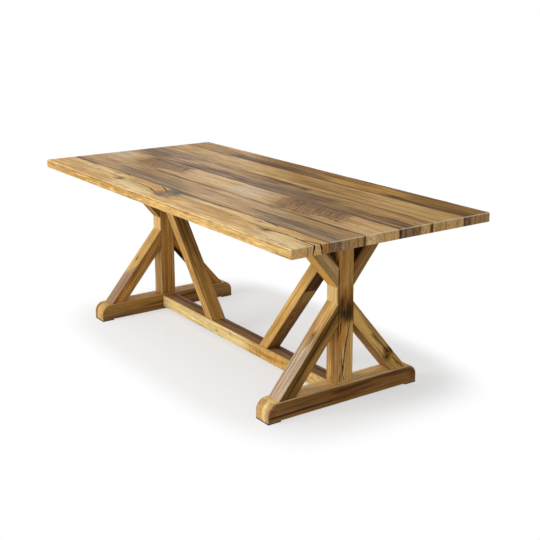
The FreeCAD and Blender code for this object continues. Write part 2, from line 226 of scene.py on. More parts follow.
print("a recipe can:", [call for call in vars(Recipe) if not call.startswith("_")])

# %% [markdown]
# ## The light from all round
#
# The world is a plain, slightly cool grey. A sky picture would put windows and trees into the
# wood's shine. Where the camera or a polished surface looks straight at the world it is plain
# white, like the paper roll of a studio, and the Light Path node tells these looks apart.

# %% World
white = (1, 1, 1, 1)
cool_white = (0.96, 0.98, 1.0, 1)
ambient_strength = 0.55
world = bpy.data.worlds.new("studio")
bpy.context.scene.world = world
world.use_nodes = True
world.node_tree.nodes.clear()
air = Recipe(world.node_tree)
ambient = air.add("Background", {"Color": cool_white, "Strength": ambient_strength})
plain_white = air.add("Background", {"Color": white, "Strength": 1.0})
rays = air.add("LightPath")
seen = air.math("MAXIMUM", rays.outputs["Is Camera Ray"], rays.outputs["Is Glossy Ray"])
seen = air.math("MAXIMUM", seen, rays.outputs["Is Transmission Ray"])
air_mix = air.add("MixShader", {0: seen, 1: ambient.outputs[0], 2: plain_white.outputs[0]})
air.add("OutputWorld", {0: air_mix.outputs[0]})
print("light from all round:", ambient_strength)

# %% [markdown]
# ## Floor
#
# The floor is a pale sheet that takes the table's soft shadow. Farther out it has to run into the
# white of the background with no edge. That is a blend from a matt surface to plain white, by the
# distance from the table. The distance is measured so that equal ones lie on a rectangle with round
# corners, like the table's own outline. Under the table a share of plain white stays in the blend
# too, a little more in front than behind, and keeps the shadow light. The blend counts only for
# what is seen: the light that the floor sends back up under the table stays that of the matt
# surface.

# %% Floor
def mesh_from(bm, name):
    """A mesh made of a finished net of vertices and faces."""
    mesh = bpy.data.meshes.new(name)
    bm.to_mesh(mesh)
    bm.free()
    return mesh


floor_half = 30.0
sheet_grey = (0.88, 0.88, 0.88, 1)
shade_middle = (0.01, 0.06, 0)
shade_squeeze = 0.61
corner_power = 4.0
fade_start, fade_end = 0.517, 0.687
least_white, less_per_metre = 0.577, 0.19

floor_net = bmesh.new()
bmesh.ops.create_grid(floor_net, x_segments=2, y_segments=2, size=floor_half)
floor = add_object("floor", mesh_from(floor_net, "floor"))

floor_paint, ground = new_finish("floor")
place = ground.add("NewGeometry").outputs["Position"]
offset = ground.add("VectorMath", {0: place, 1: shade_middle}, operation="SUBTRACT").outputs[0]
u, v, _ = ground.split(ground.scaled(offset, shade_squeeze, 1, 1))
u, v = (ground.math("POWER", ground.math("ABSOLUTE", part), corner_power) for part in (u, v))
distance = ground.math("POWER", ground.plus(u, v), 1 / corner_power)
nearest = ground.minus(least_white, ground.times(ground.split(place)[1], less_per_metre))
fade = ground.math("MAXIMUM", nearest, ground.step(distance, fade_start, fade_end, nearest, 1.0))
rays = ground.add("LightPath")
seen = ground.math("MAXIMUM", rays.outputs["Is Camera Ray"], rays.outputs["Is Glossy Ray"])
matt = ground.add("BsdfDiffuse", {"Color": sheet_grey})
glow = ground.add("Emission", {"Color": white, "Strength": 1.0})
blend = ground.add("MixShader", {0: ground.times(fade, seen), 1: matt.outputs[0], 2: glow.outputs[0]})
ground.add("OutputMaterial", {0: blend.outputs[0]})
floor.data.materials.append(floor_paint)
print("floor:", 2 * floor_half, "m square")

# %% [markdown]
# ## Stamps for the finish
#
# A board's face is told apart by a few things that lie at definite places: a dark mineral streak,
# a patch that the saw has burnt, a knot with the grain flowing round it, a scatter of short dashes.
# Image textures could carry them, but they tie the finish to one picture and one size. Here each
# kind is a small node group, a stamp, that turns a place on the face into a mask, and each timber
# lists its own stamps.
#
# A place on a face is told as (along, across, under): metres along the grain, metres across the
# face, and metres below its surface. Most stamps reach only a few millimetres deep, so what is
# drawn on one face doesn't come out on the next.

# %% Stamp
def stamp(name, sockets, results):
    """An empty node group that takes a place and floats, and gives floats."""
    tree = bpy.data.node_groups.new(name, "ShaderNodeTree")
    tree.interface.new_socket("Place", in_out="INPUT", socket_type="NodeSocketVector")
    for socket in sockets:
        tree.interface.new_socket(socket, in_out="INPUT", socket_type="NodeSocketFloat")
    for socket in results:
        tree.interface.new_socket(socket, in_out="OUTPUT", socket_type="NodeSocketFloat")
    entry = tree.nodes.new("NodeGroupInput").outputs
    leave = tree.nodes.new("NodeGroupOutput").inputs
    return tree, Recipe(tree), entry, leave


def near_face(r, under, depth):
    """1 on the face, and 0 below the depth that a mark reaches."""
    return r.step(under, depth, r.times(depth, 0.5))


stamps = {}
print("stamps so far:", len(stamps))


# %% Band stamp
wander_waves, wander_choice = 4.0, 37.0
fray_waves, ragged_waves = (9, 75, 0), (7, 60, 0)
side_swing, end_swing = 1.5, 3.2
soft_outside, soft_inside = 1.35, 0.65


def make_band():
    """A band along the grain: frayed, wandering, and fading out at both ends."""
    sockets = ("Middle", "Half", "Start", "End", "Slope", "Lean", "Fade", "Depth")
    tree, r, entry, leave = stamp("band", sockets, ("Mask",))
    middle, half, start, end, slope, lean, fade, depth = (entry[name] for name in sockets)
    along, across, under = r.split(entry["Place"])
    off = r.minus(across, middle)
    start_off = r.minus(along, start)
    off = r.minus(off, r.times(start_off, slope))
    # The middle line wanders, by another path for each band, and the sides fray.
    path = r.join(r.times(along, wander_waves), r.times(middle, wander_choice), 0.0)
    wander = r.swing(path, side_swing)
    fray = r.swing(r.scaled(entry["Place"], *fray_waves), side_swing, 3.0)
    wander = r.times(r.plus(wander, fray), half)
    off = r.math("ABSOLUTE", r.plus(off, wander))
    inside = r.step(off, r.times(half, soft_outside), r.times(half, soft_inside))
    # The two ends lean, and are ragged.
    leant = r.times(r.minus(across, middle), lean)
    ragged = r.times(r.swing(r.scaled(entry["Place"], *ragged_waves), end_swing, 3.0), fade)
    spot = r.plus(r.minus(along, leant), ragged)
    begun = r.step(spot, r.minus(start, fade), r.plus(start, fade))
    ended = r.step(spot, r.plus(end, fade), r.minus(end, fade))
    shallow = near_face(r, under, depth)
    r.feed(leave["Mask"], r.times(r.times(inside, begun), r.times(ended, shallow)))
    return tree


stamps["band"] = make_band()
print("band stamp:", len(stamps["band"].nodes), "nodes")


# %% Knot stamp
rim_waves, rim_swing = (55, 70, 0), 1.5
core_inside = 0.4
ring_outside, ring_inside = 3.2, 0.9
bend_width, bend_strength = 1.9, 0.8


def make_knot():
    """A knot: its dark core, the warm ring round it, and how far it pushes the grain aside."""
    sockets = ("Along", "Across", "Radius", "Stretch", "Depth")
    tree, r, entry, leave = stamp("knot", sockets, ("Core", "Ring", "Bend"))
    knot_along, knot_across, radius, stretch, depth = (entry[name] for name in sockets)
    along, across, under = r.split(entry["Place"])
    u = r.math("DIVIDE", r.minus(along, knot_along), stretch)
    v = r.minus(across, knot_across)
    away = r.math("SQRT", r.plus(r.times(u, u), r.times(v, v)))
    rough = r.times(r.swing(r.scaled(entry["Place"], *rim_waves), rim_swing, 3.0), radius)
    uneven = r.plus(away, rough)
    shallow = near_face(r, under, depth)
    core = r.step(uneven, radius, r.times(radius, core_inside))
    ring = r.step(uneven, r.times(radius, ring_outside), r.times(radius, ring_inside))
    # The push is strongest beside the core and dies away like a bell.
    share = r.math("DIVIDE", away, r.times(radius, bend_width))
    bell = r.math("EXPONENT", r.times(r.times(share, share), -1.0))
    r.feed(leave["Core"], r.times(core, shallow))
    r.feed(leave["Ring"], r.times(ring, shallow))
    r.feed(leave["Bend"], r.times(r.times(v, bell), r.times(shallow, -bend_strength)))
    return tree


stamps["knot"] = make_knot()
print("knot stamp:", len(stamps["knot"].nodes), "nodes")


# %% Fleck stamp
fleck_softness = 0.10


def make_fleck():
    """Short dashes along the grain, scattered over a stretch of a face."""
    sockets = ("Long", "Wide", "Above", "Start", "End", "Depth")
    tree, r, entry, leave = stamp("fleck", sockets, ("Mask",))
    long, wide, above, start, end, depth = (entry[name] for name in sockets)
    along, across, under = r.split(entry["Place"])
    cell = r.join(r.math("DIVIDE", along, long), r.math("DIVIDE", across, wide), above)
    spots = r.step(r.noise(cell, 2.0), above, r.plus(above, fleck_softness))
    begun = r.step(along, start, r.plus(start, long))
    ended = r.step(along, end, r.minus(end, long))
    shallow = near_face(r, under, depth)
    r.feed(leave["Mask"], r.times(r.times(spots, shallow), r.times(begun, ended)))
    return tree


stamps["fleck"] = make_fleck()
print("fleck stamp:", len(stamps["fleck"].nodes), "nodes")

# %% [markdown]
# ## Marks
#
# A mark is one use of a stamp: which face it lies on, its colour, how strongly it covers, and where
# it lies. Each timber keeps a list of them, as a restorer would note them on a drawing. The faces
# are named in the timber's own axes, X along the grain: "+z", "+y" and "-y" are long faces, "ends"
# are the two end faces, with along counted across the timber's thickness, and "all" means through
# and through. A band paints streaks and patches, a stain deepens a whole face and leaves its figure
# alone, flecks are scattered dashes, and a knot also bends the grain.

# %% Marks
mark_depth = 0.0036


def paint(code):
    """A colour as shaders take it, from its six hexadecimal digits."""
    channels = [int(code[i:i + 2], 16) / 255 for i in (0, 2, 4)]
    return tuple(c / 12.92 if c <= 0.04045 else ((c + 0.055) / 1.055) ** 2.4 for c in channels) + (1.0,)


def band(face, colour, strength, middle, half, start, end, slope=0.0, lean=0.0, fade=0.03, sawn=0.0,
         depth=mark_depth, blend="MIX"):
    """A streak or patch. sawn says how rough the saw has left it."""
    return {"stamp": "band", "face": face, "colour": colour, "strength": strength, "sawn": sawn,
            "blend": blend, "Middle": middle, "Half": half, "Start": start, "End": end,
            "Slope": slope, "Lean": lean, "Fade": fade, "Depth": depth}


def stain(face, colour, strength):
    """A whole face that is darker, with its figure still showing through."""
    whole_width, whole_length = 2.0, 9.0
    return band(face, colour, strength, 0.0, whole_width, -whole_length, whole_length, blend="MULTIPLY")


def flecks(face, colour, strength, start, end, long, wide, above=0.54):
    """Scattered dashes of about one size. A higher above leaves fewer of them."""
    return {"stamp": "fleck", "face": face, "colour": colour, "strength": strength, "sawn": 0.0,
            "blend": "MIX", "Long": long, "Wide": wide, "Above": above, "Start": start, "End": end,
            "Depth": mark_depth}


def knot(face, along, across, radius, stretch, colour, ring):
    """A knot, with the colours of its core and of the ring round it."""
    return {"stamp": "knot", "face": face, "colour": colour, "ring": ring, "Along": along,
            "Across": across, "Radius": radius, "Stretch": stretch, "Depth": mark_depth}


print("most marks stay within", 1000 * mark_depth, "mm of their face")

# %% Where a mark lies
mark_faces = ("+z", "+y", "-y", "ends", "all")


def face_places(r, place, low, high, repeat):
    """(along, across, under) for each face of a timber that fills the box from low to high.

    With a repeat, the marks of the +z face come back one repeat lower on its negative half.
    """
    x, y, z = r.split(place)
    along = x
    if repeat:
        along = r.plus(x, r.times(r.math("LESS_THAN", x, 0.0), repeat))
    places = (r.join(along, y, r.minus(high[2], z)),
              r.join(x, z, r.minus(high[1], y)),
              r.join(x, z, r.minus(y, low[1])),
              r.join(z, y, r.math("MINIMUM", r.minus(high[0], x), r.minus(x, low[0]))),
              r.join(x, y, 0.0))
    return dict(zip(mark_faces, places))


def put_stamp(r, mark, places):
    """The group node for one mark."""
    node = r.add("Group", {}, node_tree=stamps[mark["stamp"]])
    r.feed(node.inputs["Place"], places[mark["face"]])
    for socket in node.inputs:
        if socket.name in mark:
            socket.default_value = mark[socket.name]
    return node


print("faces that take marks:", mark_faces)

# %% [markdown]
# ## Oak
#
# Oak on such a table has a figure of many scales. Broad bands, a few centimetres wide, come from the
# heartwood. Streaks of about a centimetre run through them. The growth rings draw fine lines with
# still finer fibres between them, and the pores are short dark dashes. A cloudy pattern shades it
# all in patches. All are noise that is stretched along the grain, in the piece's own coordinates
# with X along the grain, so a post and a sloping brace share one recipe. A solid pattern, unlike an
# unwrapped one, also carries on over the edges onto the end grain.
#
# The finish is a thin oil: faint soft reflections, a bump so small that it only breaks them up, and
# another tone on the eased edges. On the planks, feet and stretcher it is pale: partly rubbed where
# hands and cloths reach, partly a painted highlight where a rounded edge catches the light. On the
# posts and braces it is dark: painted shade along the edges.

# %% Figure
waver_waves, waver_size = (1.6, 5, 5), 0.030
streak_share, line_share, cloud_share = 0.9, 0.45, 0.45
figure_middle, figure_gain = 1.4, 1.5


def bent_grain(r, place, knots, seed, thick_figure):
    """Where the figure is looked up: the place, pushed aside by the knots and a slow waver."""
    bend = {"y": 0.0, "z": 0.0}
    for mark, node in knots:
        axis = "z" if mark["face"] in ("+y", "-y") else "y"
        bend[axis] = r.plus(node.outputs["Bend"], bend[axis])
    along, across, through = r.split(place)
    waver = r.swing(r.scaled(place, *waver_waves), waver_size, 1.0)
    across = r.plus(r.plus(across, bend["y"]), waver)
    through = r.times(r.plus(through, bend["z"]), thick_figure)
    return r.add("VectorMath", {0: r.join(along, across, through), 1: seed}, operation="ADD").outputs[0]


def oak_figure(r, grain):
    """The scales of the figure by name, from broad to fine, with a cloudy one for patches."""
    return {"broad": r.noise(r.scaled(grain, 1.3, 16, 16), 3.0),
            "streak": r.noise(r.scaled(grain, 3.0, 75, 75), 3.0, 0.6),
            "line": r.noise(r.scaled(grain, 6, 230, 230), 2.0, 0.6),
            "fibre": r.noise(r.scaled(grain, 14, 700, 700), 1.0),
            "pore": r.step(r.noise(r.scaled(grain, 45, 1300, 1300), 1.0), 0.60, 0.72),
            "cloud": r.noise(r.scaled(grain, 5, 13, 13), 3.0)}


def figure_colour(r, figure, tones, contrast):
    """Dark, middle and light oak by the sum of the figure's scales."""
    light, middle, dark = (paint(tone) for tone in tones)
    total = r.plus(figure["broad"], r.times(figure["streak"], streak_share))
    total = r.plus(total, r.times(figure["line"], line_share))
    total = r.plus(total, r.times(figure["cloud"], cloud_share))
    total = r.plus(r.times(r.minus(total, figure_middle), figure_gain * contrast), 0.5)
    return r.ramp(total, [(0.2, dark), (0.5, middle), (0.8, light)])


print("figure gain:", figure_gain)

# %% Marks on the oak
ring_share, core_share = 0.55, 0.92


def lay_marks(r, colour, marks, knots, places, streak):
    """The colour with the marks on it, and a mask of where the saw has left it rough."""
    ragged = r.step(streak, 0.34, 0.56, 0.72, 1.0)
    saw_mask = 0.0
    for mark in marks:
        if mark["stamp"] != "knot":
            mask = put_stamp(r, mark, places).outputs["Mask"]
            if mark["sawn"]:
                saw_mask = r.math("MAXIMUM", saw_mask, r.times(mask, mark["sawn"]))
            else:
                mask = r.times(mask, ragged)
            share = r.times(mask, mark["strength"])
            colour = r.mix(share, colour, paint(mark["colour"]), mark["blend"])
    for mark, node in knots:
        colour = r.mix(r.times(node.outputs["Ring"], ring_share), colour, paint(mark["ring"]))
        colour = r.mix(r.times(node.outputs["Core"], core_share), colour, paint(mark["colour"]))
    return colour, saw_mask


print("a knot's core covers", core_share)

# %% Edges, saw teeth, lines and relief
saw_slant, saw_waves, saw_drift = (0.80, 0.60), 110.0, 12.0
scratch_share = 0.6
line_tint, fibre_tint, pore_tint = 0.65, 0.35, 0.30
relief_strength, relief_depth = 0.5, 0.0005


def edge_wear_and_light(r, colour, cloud, arris, arris_share):
    """The colour with eased edges in a patchy tone: pale for wear and painted highlight, dark for painted
    shade.
    """
    edge_mask = r.add("Attribute", attribute_name="arris").outputs["Fac"]
    edge_mask = r.times(edge_mask, r.step(cloud, 0.35, 0.6, 0.5 * arris_share, arris_share))
    return r.mix(edge_mask, colour, paint(arris))


def saw_scratches(r, place, saw_mask):
    """The slanting scratches of saw teeth, where a patch was left rough."""
    x, y, _ = r.split(place)
    slant = r.plus(r.times(x, saw_slant[0]), r.times(y, saw_slant[1]))
    tooth = r.noise(r.join(r.times(slant, saw_waves), r.times(y, saw_drift), 0.0), 2.0)
    return r.times(r.step(tooth, 0.44, 0.64), saw_mask)


def fine_lines(r, colour, figure):
    """The colour with fine lines and pores in it."""
    fine = r.plus(r.times(figure["line"], line_tint), r.times(figure["fibre"], fibre_tint))
    tint = r.step(fine, 0.34, 0.64, 0.74, 1.16)
    tint = r.times(tint, r.minus(1.0, r.times(figure["pore"], pore_tint)))
    return r.mix(1.0, colour, r.join(tint, tint, tint), "MULTIPLY")


def relief(r, figure, scratch):
    """A bump from the lines and streaks, with pores and scratches sunk in."""
    height = r.plus(r.times(figure["line"], 0.6), r.times(figure["streak"], 0.5))
    height = r.minus(height, r.times(figure["pore"], 0.5))
    height = r.minus(height, r.times(scratch, 0.6))
    inputs = {"Strength": relief_strength, "Distance": relief_depth, "Height": height}
    return r.add("Bump", inputs).outputs[0]


print("the relief is", 1000 * relief_depth, "mm deep")

# %% Oak
tooth_colour = paint("463322")


# By default (arris) the eased edges take a dark tone: painted shade along the edges of the posts and braces.
def oak(name, tones, seed, box, marks=(), turned=False, thick_figure=1.0, contrast=1.0,
        roughness=0.46, shine=0.01, arris="6e4a26", arris_share=0.4, repeat=0.0):
    """Oiled oak. tones are light, middle and dark. box is the timber's (low, high) in its own axes."""
    material, r = new_finish(name)
    place = r.add("TexCoord").outputs["Object"]
    if turned:
        x, y, z = r.split(place)
        place = r.join(y, x, z)
    places = face_places(r, place, *box, repeat)
    knots = [(mark, put_stamp(r, mark, places)) for mark in marks if mark["stamp"] == "knot"]
    figure = oak_figure(r, bent_grain(r, place, knots, seed, thick_figure))
    colour = figure_colour(r, figure, tones, contrast)
    colour, saw_mask = lay_marks(r, colour, marks, knots, places, figure["streak"])
    colour = edge_wear_and_light(r, colour, figure["cloud"], arris, arris_share)
    scratch = saw_scratches(r, place, saw_mask)
    colour = r.mix(r.times(scratch, scratch_share), colour, tooth_colour)
    colour = fine_lines(r, colour, figure)
    bump = relief(r, figure, scratch)
    sheen = r.step(figure["streak"], 0.3, 0.7, roughness + 0.10, roughness - 0.06)
    shader = r.add("BsdfPrincipled", {"Base Color": colour, "Roughness": sheen, "Normal": bump})
    shader.inputs["Specular IOR Level"].default_value = shine
    r.add("OutputMaterial", {0: shader.outputs[0]})
    return material


def crack_finish():
    """The inside of a crack, near black and mottled: painted shade that deepens the gap."""
    material, r = new_finish("crack_inside")
    mottle = r.noise(r.scaled(r.add("TexCoord").outputs["Object"], 60, 240, 240), 3.0)
    colour = r.ramp(mottle, [(0.35, paint("120c08")), (0.7, paint("33241a"))])
    shader = r.add("BsdfPrincipled", {"Base Color": colour, "Roughness": 0.8})
    r.add("OutputMaterial", {0: shader.outputs[0]})
    return material


crack_inside = crack_finish()
print("finishes so far:", [m.name for m in bpy.data.materials if m.users])

# %% [markdown]
# ## Cutting a timber
#
# Every timber here is a straight piece with an outline: a board, a post, a foot with rounded ends,
# a brace with both ends cut on the slope. So one helper makes them all: it draws the outline,
# pushes it out to the thickness, and rounds the edges that a carpenter would ease, with Blender's
# Bevel set by a weight on each edge. The end faces that meet another timber stay sharp.
#
# Then the timber is sliced into a fine net, about a centimetre wide with close rows beside the
# edges, and the net is pressed in by a fraction of a millimetre here and there, more on the
# edges than on the faces. That gives the light something to catch, as on wood that was planed and
# worn by hand. A sculpted or displaced surface could do this too, but it would swell in places. Here
# the surface only ever moves inward, so the table keeps its size.

# %% Outline and thickness
def grain_frame(origin, along, face):
    """A matrix whose X runs along the grain and whose Z looks out of the named face."""
    x = Vector(along).normalized()
    z = Vector(face).normalized()
    y = z.cross(x)
    return Matrix.Translation(origin) @ Matrix((x, y, z)).transposed().to_4x4()


def rectangle(x_low, x_high, y_low, y_high):
    return [(x_low, y_low), (x_high, y_low), (x_high, y_high), (x_low, y_high)]


def prism(outline, low, high):
    """A closed solid from an outline in X and Y, between two heights in Z.

    Its vertices are numbered round the outline, first the low ring and then the high one.
    """
    bm = bmesh.new()
    bm.edges.layers.float.new("bevel_weight_edge")
    low_ring = [bm.verts.new((x, y, low)) for x, y in outline]
    high_ring = [bm.verts.new((x, y, high)) for x, y in outline]
    bm.faces.new(low_ring)
    bm.faces.new(high_ring)
    for i in range(len(outline)):
        j = (i + 1) % len(outline)
        bm.faces.new((low_ring[i], low_ring[j], high_ring[j], high_ring[i]))
    bmesh.ops.recalc_face_normals(bm, faces=bm.faces)
    bm.verts.index_update()
    return bm


trial = prism(rectangle(0, 1, 0, 1), 0, 1)
print("a square prism has", len(trial.faces), "faces and", len(trial.edges), "edges")
trial.free()

# %% Eased edges
bevel_segments = 3


def after_modifiers(thing):
    """The mesh of an object as its modifiers leave it."""
    return bpy.data.meshes.new_from_object(thing.evaluated_get(bpy.context.evaluated_depsgraph_get()))


def edges_to_ease(bm, count, eased, corners):
    """(edge, radius) for a prism's edges: the long ones by eased, the upright ones by corners."""
    radii = []
    for edge in bm.edges:
        a, b = (vertex.index % count for vertex in edge.verts)
        # Side i of the outline runs from corner i to the next corner.
        side = a if b == (a + 1) % count else b
        if a == b and a in corners:
            radii.append((edge, corners[a]))
        elif a != b and side in eased:
            radii.append((edge, eased[side]))
    return radii


def ease_edges(bm, radii, name):
    """The net with the edges in radii, a list of (edge, radius), rounded by a weight on each."""
    widest = max(radius for _, radius in radii)
    weight = bm.edges.layers.float["bevel_weight_edge"]
    for edge, radius in radii:
        edge[weight] = radius / widest
    blank = add_object(name + "_blank", mesh_from(bm, name))
    bevel = blank.modifiers.new("arris", "BEVEL")
    bevel.limit_method = "WEIGHT"
    bevel.width = widest
    bevel.segments = bevel_segments
    mesh = after_modifiers(blank)
    eased = bmesh.new()
    eased.from_mesh(mesh)
    bpy.data.objects.remove(blank)
    bpy.data.meshes.remove(mesh)
    return eased


print("each eased edge gets", bevel_segments, "strips")

# %% Slices
slice_step = 0.012


def slice_rows(bm, axis, places):
    """Cuts the faces along planes across one axis."""
    normal = Vector((0, 0, 0))
    normal[axis] = 1
    for place in places:
        geometry = bm.verts[:] + bm.edges[:] + bm.faces[:]
        bmesh.ops.bisect_plane(bm, geom=geometry, dist=1e-7, plane_co=normal * place, plane_no=normal)


def rows_between(low, high, near_edge):
    """Even rows, with a close row beside each edge."""
    count = max(2, round((high - low) / slice_step))
    inner = [low + (high - low) * i / count for i in range(1, count)]
    rows = [place for place in inner if low + 2 * near_edge < place < high - 2 * near_edge]
    return [low + near_edge] + rows + [high - near_edge]


print("slices are", 1000 * slice_step, "mm wide")

# %% Wear
face_wear, edge_wear = 0.00022, 0.0007
slow_waves, quick_waves = Vector((9, 24, 24)), 38
rubbed_share, rubbed_contrast = 0.25, 1.5
hollow_stretch, faces_up = 1.5, 0.9
flat_facing, corner_facing = 0.995, 0.6
seam_reach = 0.002


def wear(bm, seed, hollows=(), seam_rows=(), edge_wear_and_light_above=-1.0):
    """Presses the surface in a little, and notes in the arris layer the eased edges. These are pressed
    in more, and the finish gives them another tone: pale ones are wear with a painted highlight, dark
    ones are painted shade.

    hollows gives (along, across, radius, sink) of shallow dips in the +z face, as round a knot.
    seam_rows gives the places across the grain where edges meet in a seam and stay as they were cut.
    Edges below the height edge_wear_and_light_above stay as they were cut, too.
    """
    bm.normal_update()
    layer = bm.verts.layers.float.new("arris")
    shift = Vector(seed)
    for vertex in bm.verts:
        # On flat wood all faces look the vertex's way, and where three sharp ones meet none does.
        facing = [abs(face.normal.dot(vertex.normal)) for face in vertex.link_faces] or [1.0]
        on_edge = min(facing) < flat_facing and max(facing) > corner_facing
        in_seam = any(abs(vertex.co.y - place) < seam_reach for place in seam_rows)
        spared = in_seam or vertex.co.z < edge_wear_and_light_above
        vertex[layer] = 1.0 if on_edge and not spared else 0.0
    moves = []
    for vertex in bm.verts:
        p = vertex.co
        slow = noise.noise(p * slow_waves + shift)
        quick = noise.noise(p * quick_waves - shift)
        depth = face_wear * (0.5 + 0.5 * slow)
        depth += vertex[layer] * edge_wear * max(0.0, rubbed_share + quick) ** rubbed_contrast
        for along, across, radius, sink in hollows:
            away = math.hypot((p.x - along) / hollow_stretch, p.y - across) / radius
            if vertex.normal.z > faces_up:
                depth += sink * math.exp(-away * away)
        moves.append((vertex, vertex.normal * depth))
    for vertex, move in moves:
        vertex.co -= move


print("faces lose up to", 1000 * face_wear, "mm, and rubbed edges about", 1000 * edge_wear, "mm more")

# %% Timber
smooth_below = math.radians(40)


def finish_piece(bm, name, node, frame_matrix, material):
    """Turns the worked net into a piece of the table that stands for its CAD node."""
    for edge in bm.edges:
        edge.smooth = len(edge.link_faces) == 2 and edge.calc_face_angle() < smooth_below
    for face in bm.faces:
        face.smooth = True
    piece = add_object(name, mesh_from(bm, name))
    piece.matrix_world = frame_matrix
    piece.data.materials.append(material)
    piece.data.materials.append(crack_inside)
    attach(piece, "root")
    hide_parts(node)
    return piece


def timber(node, slot_name, frame_matrix, outline, low, high, eased, tones, seed, marks=(),
           corners=(), hollows=(), seam_rows=(), edge_wear_and_light_above=-1.0, near_edge=0.0045, **oak_settings):
    """One timber. eased maps an outline side to the radius of its two long edges."""
    bm = prism(outline, low, high)
    bm = ease_edges(bm, edges_to_ease(bm, len(outline), eased, corners), node)
    xs = [x for x, _ in outline]
    ys = [y for _, y in outline]
    box = ((min(xs), min(ys), low), (max(xs), max(ys), high))
    for axis in range(3):
        slice_rows(bm, axis, rows_between(box[0][axis], box[1][axis], near_edge))
    wear(bm, seed, hollows, seam_rows, edge_wear_and_light_above)
    material = oak(node + "_oak", tones, seed, box, marks, **oak_settings)
    return finish_piece(bm, node + "_oak", node, frame_matrix, material)


print("edges are drawn sharp from", round(math.degrees(smooth_below)), "degrees")

# %% [markdown]
# ## Cracks
#
# A drying crack is a real gap, not a dark line, and it catches the light on one lip. Each one is
# a thin wedge with a wavering path that is cut out of the timber with a Boolean. The wedge carries
# a near-black, mottled material, painted shade that deepens the gap, and the cut faces take it
# over. The path is given by a few points, and a spline through them keeps it as smooth as the grain
# that a crack follows.

# %% Crack helper
wedge_sides = 3
wedge_above = 0.0012
steps_per_leg = 6
waver_scale = 55
waver_sideways, waver_in_width = 0.8, 0.45
tip_width, tip_opening = 0.25, 2.5


def smooth_path(path):
    """Points on a Catmull-Rom spline through the path."""
    points = []
    for i in range(len(path) - 1):
        before = Vector(path[max(i - 1, 0)])
        p, q = Vector(path[i]), Vector(path[i + 1])
        after = Vector(path[min(i + 2, len(path) - 1)])
        for step in range(steps_per_leg):
            t = step / steps_per_leg
            points.append(0.5 * ((2 * p) + (q - before) * t + (2 * before - 5 * p + 4 * q - after) * t * t
                                 + (3 * p - before - 3 * q + after) * t * t * t))
    points.append(Vector(path[-1]))
    return points


def wedge(points, surface, half_width, depth, seed):
    """A closed wedge along the points that starts and ends narrow and wavers on its way."""
    bm = bmesh.new()
    rings = []
    last = len(points) - 1
    for i, point in enumerate(points):
        way = (points[min(i + 1, last)] - points[max(i - 1, 0)]).normalized()
        side = Vector((-way.y, way.x))
        waver = noise.noise(Vector((point.x * waver_scale, point.y * waver_scale, seed)))
        taper = min(1.0, tip_width + tip_opening * min(i, last - i) / last) * (1.0 + waver_in_width * waver)
        centre = point + side * waver * half_width * waver_sideways
        left = centre + side * half_width * taper
        other = centre - side * half_width * taper
        rings.append([bm.verts.new(surface(left.x, left.y, wedge_above)),
                      bm.verts.new(surface(other.x, other.y, wedge_above)),
                      bm.verts.new(surface(centre.x, centre.y, -depth * taper))])
    for a, b in zip(rings, rings[1:]):
        for k in range(wedge_sides):
            m = (k + 1) % wedge_sides
            bm.faces.new((a[k], a[m], b[m], b[k]))
    bm.faces.new(rings[0])
    bm.faces.new(rings[-1])
    bmesh.ops.recalc_face_normals(bm, faces=bm.faces)
    return bm


def crack(piece, seed, surface, half_width, depth, path):
    """Cuts a crack into piece. path is in (along, across) of the face; surface maps it to 3-D.

    surface(along, across, height) gives a point height above the face, in the piece's own axes.
    """
    bm = wedge(smooth_path(path), surface, half_width, depth, seed)
    cutter = add_object("wedge", mesh_from(bm, "wedge"))
    cutter.data.materials.append(crack_inside)
    cutter.matrix_world = piece.matrix_world
    cut = piece.modifiers.new("crack", "BOOLEAN")
    cut.object = cutter
    cut.operation = "DIFFERENCE"
    cut.solver = "EXACT"
    cut.material_mode = "TRANSFER"
    cracked = after_modifiers(piece)
    piece.modifiers.remove(cut)
    piece.data = cracked
    bpy.data.objects.remove(cutter)


print("cracks are cut with a wedge of", wedge_sides, "sides")

# %% [markdown]
# ## The top
#
# Six planks lie side by side, five of one width and a narrower last one at the back. Their outer
# edges are eased to 3 mm. The edges that meet in a seam are only just broken, so each seam shows as
# a fine dark line, and all but the front one run out towards the left end. The planks come from
# weathered oak of different colour: pale and knotty at the front, grey-brown, pale with saw burns,
# dark, honey and brown at the back. Only their upper edges are pale, partly rubbed where arms rest
# and partly a painted highlight, and a painted highlight runs along the top edge of each end.
#
# The planks were cut one after another from the same few logs, so the same figure comes back
# after one log length. Listing every mark twice would invite mistakes. Instead the finish folds
# the plank: on the negative half it looks up the marks one log length further on. A mark that fades
# or runs over the join is copied, so that it carries on there.

# %% Seams and folded marks
log_length = 1.185
knot_reach = 4
past_the_ends = 2
below_top, above_top = 0.6, 0.9
seam_colour, seam_cover, seam_half = "33261b", 0.92, 0.0028


def past_the_join(marks):
    """The marks, with a copy of each one that fades or runs past the start or the end of the log.

    A knot bends the grain as far as knot_reach times its radius.
    """
    laid = []
    for mark in marks:
        reach = knot_reach * mark.get("Radius", 0) + mark.get("Fade", 0)
        first = mark.get("Start", mark.get("Along", 0)) - reach
        last = mark.get("End", mark.get("Along", 0)) + reach
        shifts = [0.0]
        if mark["face"] == "+z" and first < 0:
            shifts.append(log_length)
        if mark["face"] == "+z" and last > log_length:
            shifts.append(-log_length)
        for shift in shifts:
            moved = {key: mark[key] + shift for key in ("Start", "End", "Along") if key in mark}
            laid.append({**mark, **moved})
    return laid


def seam(across, number):
    """The dark line beside one seam. All but the first run out towards the left end."""
    start, fade = (-past_the_ends, 0.03) if number == 1 else (-0.70, 0.60)
    return band("all", seam_colour, seam_cover, across, seam_half, start, past_the_ends, fade=fade)


def end_band(colour, strength, across, half):
    """A streak down the end of a plank, from above the top to below it."""
    return band("ends", colour, strength, across, half, below_top, above_top)


print("the figure comes back after", log_length, "m")

